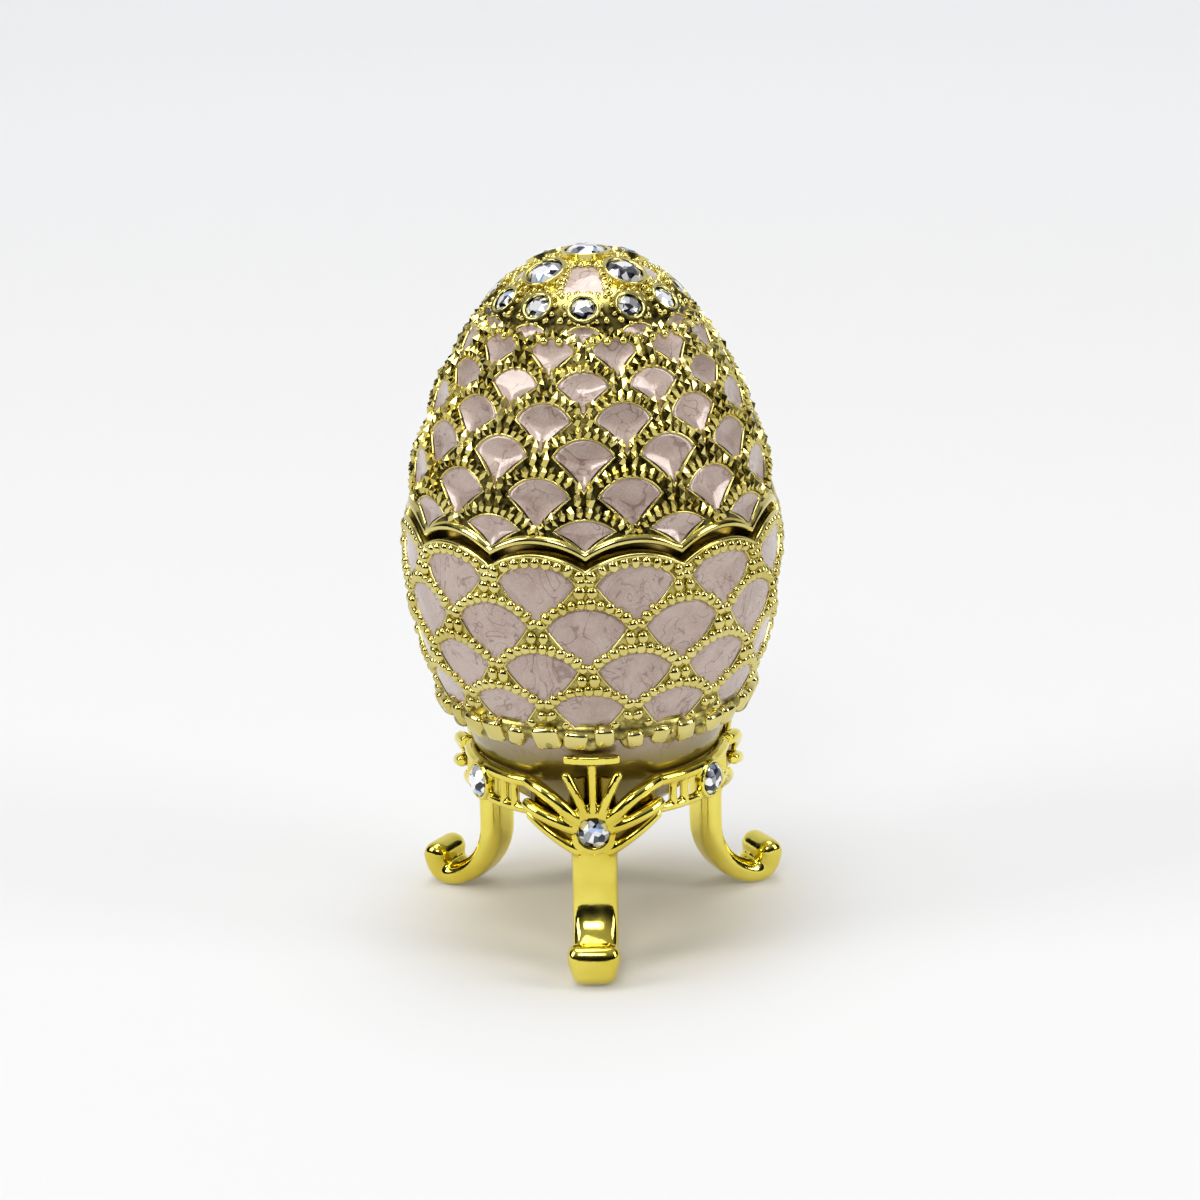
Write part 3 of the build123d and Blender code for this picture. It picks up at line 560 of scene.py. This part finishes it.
LUG_WIDTHS = (0.0009, 0.0015)
LUG_SIZE = (0.0013, 0.0009)
LUG_CUBE = 1.7
LUG_ROUNDING = 0.6
ENAMEL_PINK = (0.425, 0.308, 0.255, 1.0)
ENAMEL_PALE = (0.51, 0.392, 0.335, 1.0)
ENAMEL_VEIN = (0.19, 0.10, 0.075, 1.0)
ENAMEL_FLAKE = (0.72, 0.62, 0.58, 1.0)
CLOUD_SCALE = 260.0
VEIN_SCALE = 250.0
VEIN_SIDES = ((0.470, 0.494), (0.506, 0.530))
VEIN_STRENGTH = 0.65
VEIN_PATCH_SCALE = 300.0
FLAKE_SCALE = 9000.0
FLAKE_STRENGTH = 0.25
# The base gilt colour is painted shade and reflection: the lower base enamel turns dark gold where the
# stand's gold and shade show in it.
BASE_PAINTED_GOLD_SHADE = (0.24, 0.18, 0.022, 1.0)
BASE_SHADE_FADE = (0.0185, 0.0225)
draw = random.Random(12)


def gold_with_painted_shade(name, arc, bare_from, shade_colours):
    """Gold casting: polished where it is bare and inside; between the beads duller, and darkened with
    painted shade.
    """
    material, shader, place = start_material(name)
    height = place.node("ShaderNodeSeparateXYZ", {}, {0: place}, 2)
    flat = place.node("ShaderNodeVectorMath", {"operation": "MULTIPLY"}, {0: place, 1: (1, 1, 0)})
    level = flat.node("ShaderNodeVectorMath", {"operation": "LENGTH"}, {0: flat}, 1)
    reach = ((level - arc[0]) * (level - arc[0]) + (height - arc[1]) * (height - arc[1])) ** 0.5
    inside = 1 - reach.step(arc[2] - LINING_DEPTH - LINING_BLEND, arc[2] - LINING_DEPTH)
    bare = (height.step(*bare_from) + inside).clamped()
    drift = place.noise(EGG_DRIFT_SCALE, 3.0).step(0.35, 0.7)
    gold = drift.blend(EGG_GOLD, EGG_GOLD_DEEP)
    # Painted shade: where the gold is not bare, it is darkened under the beads and tiles.
    recess_painted_shade = place.noise(SHADE_PATCH_SCALE, 3.0).step(0.35, 0.65).blend(*shade_colours)
    feed(shader, Base_Color=bare.blend(recess_painted_shade, gold), Metallic=1.0,
         Roughness=0.30 - bare * 0.16 + place.noise(DULL_HAZE_SCALE, 3.0) * 0.08,
         Normal=place.bump(place.noise(DIMPLE_SCALE, 3.0), 0.5, 0.0001))
    return material


def tangent_frame(azimuth, arc, slope):
    """Frame on the egg's skin: X level, Y up along the skin, Z outwards."""
    turn, tilt = math.radians(azimuth - 90), math.radians(slope)
    out = Vector((math.cos(turn), math.sin(turn), 0))
    normal = out * math.cos(tilt) + Vector((0, 0, math.sin(tilt)))
    level = Vector((-out.y, out.x, 0))
    up = normal.cross(level)
    origin = out * (arc[0] + arc[2] * math.cos(tilt)) + Vector((0, 0, arc[1] + arc[2] * math.sin(tilt)))
    return Matrix((
        (level.x, up.x, normal.x, origin.x),
        (level.y, up.y, normal.y, origin.y),
        (level.z, up.z, normal.z, origin.z),
        (0, 0, 0, 1),
    ))


def on_skin(point, arc, lift):
    """The point moved onto the egg's skin, or a lift above it."""
    level = math.hypot(point.x, point.y)
    across = Vector((level - arc[0], point.z - arc[1])).normalized() * (arc[2] + lift)
    share = (arc[0] + across.x) / level
    return Vector((point.x * share, point.y * share, arc[1] + across.y))


def skin_normal(point, arc):
    """Outward direction of the egg's skin at a point."""
    level = math.hypot(point.x, point.y)
    across = Vector((level - arc[0], point.z - arc[1])).normalized()
    return Vector((point.x / level * across.x, point.y / level * across.x, across.y))


def arc_points(first, middle, last, count):
    """Points along the arc through three points, without the last one."""
    a, b, c = complex(*first), complex(*middle), complex(*last)
    w = (c - a) / (b - a)
    centre = (b - a) * (w - abs(w) ** 2) / (2j * w.imag) + a
    turn = cmath.phase((b - centre) / (a - centre)) + cmath.phase((c - centre) / (b - centre))
    found = [centre + (a - centre) * cmath.exp(1j * turn * k / count) for k in range(count)]
    return [(p.real, p.imag) for p in found]


def cell_size(row, arc):
    """Half width, corner height, top, foot and column pitch of a row's cells."""
    slope, width_share, height = row[:3]
    pitch = 2 * math.pi * (arc[0] + arc[2] * math.cos(math.radians(slope))) / COLUMNS
    return pitch * width_share / 2, height * CELL_CORNER, height / 2, -height / 2, pitch


def join_row(whole, row_mesh):
    """Adds one row's finished mesh to the whole."""
    data = bpy.data.meshes.new("row")
    row_mesh.to_mesh(data)
    row_mesh.free()
    whole.from_mesh(data)
    bpy.data.meshes.remove(data)


def cell_outline(row, arc, fit):
    """Fan outline of a row's cells: an arched top and two sides that meet at the foot."""
    half, side, top, foot, pitch = cell_size(row, arc)
    bow_share, wider, higher, lower = fit
    half, top, foot, bow = half + wider, top + higher, foot - lower, pitch * bow_share
    outline = arc_points((-half, side), (0, top), (half, side), CELL_STEPS[0])
    outline += arc_points((half, side), (half / 2 - bow, (side + foot) / 2), (0, foot),
                          CELL_STEPS[1])
    outline += arc_points((0, foot), (bow - half / 2, (side + foot) / 2), (-half, side),
                          CELL_STEPS[1])
    return outline


def drawn_ring(mesh, count, steps, place_at):
    """Ring of edges drawn out through some steps; place_at gives a point by step and index."""
    ring = bmesh.ops.create_circle(mesh, segments=count, radius=1)["verts"]
    edges = edges_of(ring)
    for step in range(steps):
        if step:
            made = bmesh.ops.extrude_edge_only(mesh, edges=edges)["geom"]
            fresh = {g for g in made if isinstance(g, bmesh.types.BMVert)}
            ring = [next(e.other_vert(v) for e in v.link_edges if e.other_vert(v) in fresh)
                    for v in ring]
            edges = [g for g in made if isinstance(g, bmesh.types.BMEdge)
                     and g.verts[0] in fresh and g.verts[1] in fresh]
        for index, vert in enumerate(ring):
            vert.co = place_at(step, index)


def cell_wires(rows, arc, fit, profile):
    """Thin raised edge round the enamel of every cell."""
    whole = bmesh.new()
    for row in rows:
        mesh = bmesh.new()
        outline = [Vector((x, y, 0)) for x, y in cell_outline(row, arc, fit)]
        middle = sum(outline, Vector()) / len(outline)
        for column in range(COLUMNS):
            place = tangent_frame((column + row[3]) * 360 / COLUMNS, arc, row[0])
            drawn_ring(mesh, len(outline), len(profile), lambda step, index: on_skin(
                place @ (outline[index] + (outline[index] - middle).normalized() * profile[step][0]),
                arc, profile[step][1]))
        bmesh.ops.recalc_face_normals(mesh, faces=mesh.faces)
        join_row(whole, mesh)
    return whole


def enamel_tiles(rows, arc, fit, dish):
    """Dished enamel of every cell, each drawn up from a disc of its outline."""
    shallow, deep = dish
    whole = bmesh.new()
    for row in rows:
        mesh = bmesh.new()
        outline = cell_outline(row, arc, fit)
        for column in range(COLUMNS):
            place = tangent_frame((column + row[3]) * 360 / COLUMNS, arc, row[0])
            ring = bmesh.ops.create_circle(mesh, cap_ends=True, segments=len(outline),
                                           radius=1)["verts"]
            for vert, (x, y) in zip(ring, outline):
                vert.co = (x, y, -deep)
            verts = list(ring)
            face = ring[0].link_faces[0]
            before = 1.0
            for share in DISH_SHARES:
                face = bmesh.ops.extrude_discrete_faces(mesh, faces=[face])["faces"][0]
                sunk = deep - (deep - shallow) * share ** DISH_POWER
                for vert in face.verts:
                    vert.co = (vert.co.x * share / before, vert.co.y * share / before, -sunk)
                before = share
                verts += face.verts
            verts += bmesh.ops.poke(mesh, faces=[face])["verts"]
            for vert in verts:
                vert.co = on_skin(place @ Vector((vert.co.x, vert.co.y, 0)), arc, vert.co.z)
            for _ in range(DISH_SOFTENING):
                bmesh.ops.smooth_vert(mesh, verts=verts[2 * len(outline):], factor=SMOOTH_SHARE,
                                      use_axis_x=True, use_axis_y=True, use_axis_z=True)
        bmesh.ops.recalc_face_normals(mesh, faces=mesh.faces)
        join_row(whole, mesh)
    return whole


def enamel_material(name, base_shade_share):
    """Pink pearl enamel: clouded colour, fine dark and bright flake, and a clear gloss over it; where
    the second argument is set, the enamel low down turns dark metallic gold as painted shade and
    reflection.
    """
    material, shader, place = start_material(name)
    cloud = place.noise(CLOUD_SCALE, 3.0, 1.5)
    vein = place.noise(VEIN_SCALE, 1.0, 3.0)
    line = vein.step(*VEIN_SIDES[0]) * (1 - vein.step(*VEIN_SIDES[1]))
    streak = line * place.noise(VEIN_PATCH_SCALE, 1.0).step(0.38, 0.50)
    flake = place.node("ShaderNodeTexVoronoi", {}, {"Vector": place, "Scale": FLAKE_SCALE}, 1)
    spark = place.node("ShaderNodeSeparateColor", {}, {0: flake}, 0)
    base = cloud.step(0.35, 0.65).blend(ENAMEL_PINK, ENAMEL_PALE)
    base = (streak * VEIN_STRENGTH).clamped().blend(base, ENAMEL_VEIN)
    base = (spark.step(0.5, 1.0) * FLAKE_STRENGTH).blend(base, ENAMEL_FLAKE)
    height = place.node("ShaderNodeSeparateXYZ", {}, {0: place}, 2)
    # Painted shade and reflection: low on the base the enamel turns dark metallic gold.
    base_painted_shade = (1 - height.step(*BASE_SHADE_FADE)) * base_shade_share
    base = base_painted_shade.blend(base, BASE_PAINTED_GOLD_SHADE)
    feed(shader, Base_Color=base, Metallic=0.35 + base_painted_shade * 0.6, Roughness=0.32 + spark * 0.16,
         Coat_Weight=1.0, Coat_Roughness=0.05,
         Normal=place.bump(spark, 0.12, 0.00005))
    return material


def bead_places(path, place, arc, pitch):
    """Evenly spaced points and directions along a line drawn on the egg's skin."""
    points = [on_skin(place @ Vector((x, y, 0)), arc, 0) for x, y in path]
    lengths = [(b - a).length for a, b in zip(points, points[1:])]
    count = max(1, round(sum(lengths) / pitch))
    found = []
    for k in range(count):
        target = sum(lengths) * (k + 0.5) / count
        for a, b, length in zip(points, points[1:], lengths):
            if target <= length:
                found.append((a.lerp(b, target / length), (b - a).normalized()))
                break
            target -= length
    return found


def add_bead(mesh, point, along, arc, sizes, proud, shape):
    """One bead, longest across its line, sunk into the skin apart from its proud share."""
    normal = skin_normal(point, arc)
    across = normal.cross(along).normalized()
    along = across.cross(normal)
    varied = [size * (1 + draw.uniform(-BEAD_VARIES, BEAD_VARIES)) for size in sizes]
    along, across, out = (axis * size for axis, size in zip((along, across, normal), varied))
    centre = point + normal * proud + along * sizes[0] * draw.uniform(-BEAD_STRAYS, BEAD_STRAYS)
    matrix = Matrix((
        (along.x, across.x, out.x, centre.x),
        (along.y, across.y, out.y, centre.y),
        (along.z, across.z, out.z, centre.z),
        (0, 0, 0, 1),
    ))
    if shape == "block":
        block = bmesh.ops.create_cube(mesh, size=LUG_CUBE, matrix=matrix)["verts"]
        bmesh.ops.bevel(mesh, geom=edges_of(block), affect="EDGES", offset=min(sizes) * LUG_ROUNDING,
                        segments=3, profile=0.5, material=-1)
    elif shape == "tooth":
        bmesh.ops.create_icosphere(mesh, subdivisions=1, radius=1, matrix=matrix)
    else:
        bmesh.ops.create_uvsphere(mesh, u_segments=8, v_segments=6, radius=1, matrix=matrix)


def clear_of(point, taken, gap):
    """Whether a point keeps its distance from all beads that are already there."""
    return all((point - other).length > gap for other in taken)


def ridge_beads(whole, rows, arc, sizes, pitch, shape, taken, inside):
    """Beads on the ridge over every cell and at each crossing, and then down the cells' sides."""
    for row, down_sides in [(row, down_sides) for down_sides in (False, True) for row in rows]:
        if row[0] > (SIDES_BELOW if down_sides else ARCHES_BELOW):
            continue
        mesh = bmesh.new()
        half, side, top, foot, column_pitch = cell_size(row, arc)
        top += (column_pitch / 2 - half) * RIDGE_SHARE + RIDGE_OUT
        ends = [(hand * column_pitch / 2, side - RIDGE_END) for hand in (-1, 1)]
        lines = [arc_points(ends[0], (0, top), ends[1], RIDGE_STEPS) + [ends[1]]]
        gap = RIDGE_GAP * pitch
        crossing = CROSSING
        if down_sides:
            lines = [[(hand * (half + SIDE_OUT), side - SIDE_OUT), (0, foot - SIDE_OUT)]
                     for hand in (-1, 1)]
            gap = SIDE_GAP * pitch
            crossing = ()
        for column in range(COLUMNS):
            place = tangent_frame((column + row[3]) * 360 / COLUMNS, arc, row[0])
            spots = [(point, along, 1.0) for line in lines
                     for point, along in bead_places(line, place, arc, pitch)]
            for across, up, growth in crossing:
                point = on_skin(place @ Vector((across, top + up, 0)), arc, 0)
                spots.append((point, place.to_3x3() @ Vector((1, 0, 0)), growth))
            for point, along, growth in spots:
                if inside(point) and clear_of(point, taken, gap):
                    add_bead(mesh, point, along, arc, [size * growth for size in sizes],
                             BEAD_PROUD, shape)
                    taken.append(point)
        join_row(whole, mesh)


def rim_height(azimuth, lift):
    """Height of the scalloped parting line at an azimuth."""
    column = 360 / COLUMNS
    offset = math.radians((azimuth % column) - column / 2)
    half = EGG_RADIUS * math.tan(math.radians(column / 2))
    bend = (half ** 2 + RIM_RISE ** 2) / (2 * RIM_RISE)
    across = EGG_RADIUS * math.sin(offset)
    return RIM_VALLEY + lift + RIM_RISE - bend + math.sqrt(bend ** 2 - across ** 2)


def over_rim(point, lift):
    """How far a point lies above the parting line, raised by a lift."""
    azimuth = math.degrees(math.atan2(point.y, point.x)) + 90
    return point.z - rim_height(azimuth, lift)


def at_height(azimuth, z, arc, lift):
    """Point of the egg's skin at an azimuth and height."""
    turn = math.radians(azimuth - 90)
    radius = arc[0] + math.sqrt(arc[2] ** 2 - (z - arc[1]) ** 2) + lift
    return Vector((radius * math.cos(turn), radius * math.sin(turn), z))


def band_bead(mesh, azimuth, heights, arc, lift, sizes, proud, shape):
    """Bead of a level band, which heads from one height to another a degree further on."""
    spot = at_height(azimuth, heights[0], arc, lift)
    beyond = at_height(azimuth + 1, heights[1], arc, lift)
    add_bead(mesh, spot, (beyond - spot).normalized(), arc, sizes, proud, shape)
    return spot


def edge_strip(arc, lift, profile):
    """Rounded strip along the parting line, drawn up from a ring in steps out and up."""
    mesh = bmesh.new()
    azimuths = [360 * index / EDGE_STEPS for index in range(EDGE_STEPS)]
    heights = [rim_height(azimuth, lift) for azimuth in azimuths]
    drawn_ring(mesh, EDGE_STEPS, len(profile), lambda step, index: at_height(
        azimuths[index], heights[index] + profile[step][1], arc, profile[step][0]))
    bmesh.ops.recalc_face_normals(mesh, faces=mesh.faces)
    return mesh


def dress(node, material):
    """Gives a carried-over solid its material."""
    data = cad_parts[node].data
    data.materials.clear()
    data.materials.append(material)


egg_gold = gold_material("egg_gold", EGG_GOLD, EGG_GOLD_DEEP, 0.12, 800.0)
cup_gold_painted_shade = gold_with_painted_shade("cup_casting_painted_shade", CUP_ARC, NEVER_BARE, CUP_PAINTED_SHADE)
pearl = enamel_material("pearl_enamel", 0.0)
# The base enamel gets the painted dark gold shade and reflection low down.
base_pearl_painted_shade = enamel_material("base_enamel", 1.0)
dress("cup_shell", cup_gold_painted_shade)
dress("base_enamel", base_pearl_painted_shade)
cup_tiles = new_piece("cup_tiles", enamel_tiles(CUP_ROWS, CUP_ARC, CUP_FIT, CUP_DISH), pearl, "cup")
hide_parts("cup_enamel")

new_piece("cup_cell_wires", cell_wires(CUP_ROWS, CUP_ARC, CUP_FIT, CELL_WIRE), egg_gold, "cup")

cup_beads = bmesh.new()
cup_taken = []
rim_count = round(2 * math.pi * EGG_RADIUS * RIM_STRETCH / RIM_BEAD_PITCH / COLUMNS) * COLUMNS
for k in range(rim_count):
    azimuth = 360 * (k + 0.5) / rim_count
    rim_heights = [rim_height(place, -RIM_BEAD_DROP) for place in (azimuth, azimuth + 1)]
    cup_taken.append(band_bead(cup_beads, azimuth, rim_heights, CUP_ARC, 0, RIM_BEAD, BEAD_PROUD,
                               "bead"))
ridge_beads(cup_beads, CUP_ROWS, CUP_ARC, CUP_BEAD, BEAD_PITCH, "bead", cup_taken,
            lambda point: over_rim(point, -RIM_CLEAR) < 0)
new_piece("cup_beads", cup_beads, egg_gold, "cup")
new_piece("cup_rim_wire", edge_strip(CUP_ARC, 0.0, RIM_WIRE), egg_gold, "cup")

lugs = bmesh.new()
for k in range(LUG_COUNT):
    azimuth = 360 * (k + 0.5) / LUG_COUNT + draw.uniform(-LUG_TURN, LUG_TURN)
    height = LUG_Z + draw.uniform(-LUG_RISE, LUG_RISE)
    heights = (height, height + draw.uniform(-LUG_TILT, LUG_TILT))
    sizes = (draw.uniform(*LUG_WIDTHS), *LUG_SIZE)
    band_bead(lugs, azimuth, heights, CUP_ARC, LUG_LIFT, sizes, 0, "block")
new_piece("foot_band_lugs", lugs, egg_gold, "cup")

# Inside the cup a brass collar guides the lid. A magnet sits in its boss at the front, and a
# soldered leaf with the hinge pin at the back.
BRASS = (0.55, 0.42, 0.13, 1.0)
BRASS_DEEP = (0.42, 0.30, 0.08, 1.0)
NICKEL = (0.55, 0.55, 0.56, 1.0)
NICKEL_DEEP = (0.45, 0.45, 0.46, 1.0)
plain_brass = gold_material("collar_brass", BRASS, BRASS_DEEP, 0.28, 900.0)
nickel = gold_material("nickel", NICKEL, NICKEL_DEEP, 0.18, 900.0)
dress("rim_collar", plain_brass)
dress("cup_magnet", nickel)
dress("lid_magnet", nickel)
dress("cup_hinge_leaf", egg_gold)
dress("lid_hinge_leaf", egg_gold)
dress("hinge_pin", plain_brass)

# The lid is the cup's twin, with smaller cells and ridges cut into teeth, a smooth lip along
# its parting line, and a crown with a bare band that carries the stones.
LID_ARC = (-0.01825, 0.037, 0.035)
LID_ROWS = (
    (8.0, 0.60, 0.0027, 0.0),
    (12.4, 0.66, 0.0045, 0.5),
    (18.2, 0.66, 0.0044, 0.0),
    (23.4, 0.68, 0.0043, 0.5),
    (28.6, 0.70, 0.0038, 0.0),
    (33.8, 0.70, 0.0035, 0.5),
    (37.3, 0.55, 0.0015, 0.0),
)
CROWN_Z = 0.0595
EGG_TOP = 0.0635
crown_edge = LID_ARC[0] + math.sqrt(LID_ARC[2] ** 2 - (CROWN_Z - LID_ARC[1]) ** 2)
crown_rise = EGG_TOP - CROWN_Z
crown_bend = (crown_edge ** 2 + crown_rise ** 2) / (2 * crown_rise)
CROWN_ARC = (0.0, EGG_TOP - crown_bend, crown_bend)
CROWN_BARE = (0.0598, 0.0614)
LID_DISH = (-0.00003, 0.00032)
TEETH_CLEAR = 0.0018
TEETH_TOP = 0.0587
LID_FIT = (0.030, 0.00014, 0.00008, 0.00022)
# The lid's recess colours are painted shade: the gold is darkened between the teeth and cells, fading
# out across the crown's bare band.
LID_PAINTED_SHADE = ((0.018, 0.014, 0.004, 1.0), (0.13, 0.105, 0.03, 1.0))
TOOTH = (0.00037, 0.00070, 0.00052)
TOOTH_PITCH = 0.00080
LIP_LIFT = 0.0008
LIP_PROFILE = ((-0.0003, 0.0), (0.00012, 0.00003), (0.0003, 0.00018), (0.00034, 0.00042),
               (0.00026, 0.00068), (0.0, 0.00085))

lid_gold_painted_shade = gold_with_painted_shade("lid_casting_painted_shade", LID_ARC, CROWN_BARE, LID_PAINTED_SHADE)
dress("lid_shell", lid_gold_painted_shade)
dress("crown_enamel", pearl)
lid_tiles = new_piece("lid_tiles", enamel_tiles(LID_ROWS, LID_ARC, LID_FIT, LID_DISH), pearl, "lid")
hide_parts("lid_enamel")

new_piece("lid_cell_wires", cell_wires(LID_ROWS, LID_ARC, LID_FIT, CELL_WIRE), egg_gold, "lid")

lid_teeth = bmesh.new()
ridge_beads(lid_teeth, LID_ROWS, LID_ARC, TOOTH, TOOTH_PITCH, "tooth", [],
            lambda point: over_rim(point, TEETH_CLEAR) > 0 and point.z < TEETH_TOP)
new_piece("lid_teeth", lid_teeth, egg_gold, "lid", smooth=False)

new_piece("lid_lip", edge_strip(LID_ARC, LIP_LIFT, LIP_PROFILE), egg_gold, "lid")

# A bright wire bezel is rubbed over the edge of each stone of the lid, with small beads raised
# round it. Lines of beads frame the crown's four enamel panels and edge its band.
BEZEL_WIRE = 0.00015
BEZEL_PLACE = (0.0001, 0.0003)
BEZEL_STEPS = 28
PRONGS = 12
PRONG = (0.00026, 0.00034, 0.00034)
PRONG_OUT = 0.00042
PRONG_PROUD = 0.00006
CROWN_RINGS = ((0.0577, 44, 0.00042), (0.0593, 40, 0.00036))
CROWN_BEAD_LENGTH = 1.1
PANEL_COUNT = 4
PANEL_TOP, PANEL_FOOT, PANEL_HEIGHT, PANEL_CIRCLE = 0.0022, 0.0040, 0.0039, 0.0049
FRAME_OUT = (0.0003, 0.0002)
FRAME_BEAD = (0.0003, 0.00042, 0.0003)
FRAME_PITCH = 0.00062
FRAME_PROUD = 0.00004

bezels = bmesh.new()
for node in ("band_crystals", "crown_crystals", "top_crystal"):
    for centre, normal, radius in stone_places[node]:
        wire = bmesh.ops.create_circle(bezels, segments=8, radius=BEZEL_WIRE)["verts"]
        turn = normal.to_track_quat("Z", "Y").to_matrix().to_4x4()
        start = (Matrix.Translation(centre) @ turn
                 @ Matrix.Translation((radius + BEZEL_PLACE[0], 0, BEZEL_PLACE[1]))
                 @ Matrix.Rotation(math.pi / 2, 4, "X"))
        bmesh.ops.transform(bezels, matrix=start, verts=wire)
        bmesh.ops.spin(bezels, geom=wire + edges_of(wire), cent=centre, axis=normal,
                       angle=2 * math.pi, steps=BEZEL_STEPS, use_merge=True)
bmesh.ops.recalc_face_normals(bezels, faces=bezels.faces)
new_piece("stone_bezels", bezels, egg_gold, "lid")

frames = bmesh.new()
panel_slope = math.degrees(math.acos(PANEL_CIRCLE / crown_bend))
frame_top, frame_foot = PANEL_TOP / 2 + FRAME_OUT[0], PANEL_FOOT / 2 + FRAME_OUT[0]
frame_half = PANEL_HEIGHT / 2 + FRAME_OUT[1]
corners = [(-frame_foot, -frame_half), (-frame_top, frame_half), (frame_top, frame_half),
           (frame_foot, -frame_half), (-frame_foot, -frame_half)]
for k in range(PANEL_COUNT):
    place = tangent_frame(360 * k / PANEL_COUNT, CROWN_ARC, panel_slope)
    for first, last in zip(corners, corners[1:]):
        for point, along in bead_places([first, last], place, CROWN_ARC, FRAME_PITCH):
            add_bead(frames, point, along, CROWN_ARC, FRAME_BEAD, FRAME_PROUD, "bead")
for node, arc in (("band_crystals", LID_ARC), ("crown_crystals", CROWN_ARC)):
    for centre, normal, radius in stone_places[node]:
        turn = normal.to_track_quat("Z", "Y").to_matrix()
        for k in range(PRONGS):
            angle = 2 * math.pi * (k + 0.5) / PRONGS
            out = turn @ Vector((math.cos(angle), math.sin(angle), 0))
            spot = on_skin(centre + out * (radius + PRONG_OUT), arc, 0)
            add_bead(frames, spot, normal.cross(out), arc, PRONG, PRONG_PROUD, "bead")
for height, count, size in CROWN_RINGS:
    for k in range(count):
        band_bead(frames, 360 * (k + 0.5) / count, (height, height), LID_ARC, 0,
                  (size, size * CROWN_BEAD_LENGTH, size), 0, "bead")
new_piece("panel_frames", frames, egg_gold, "lid")
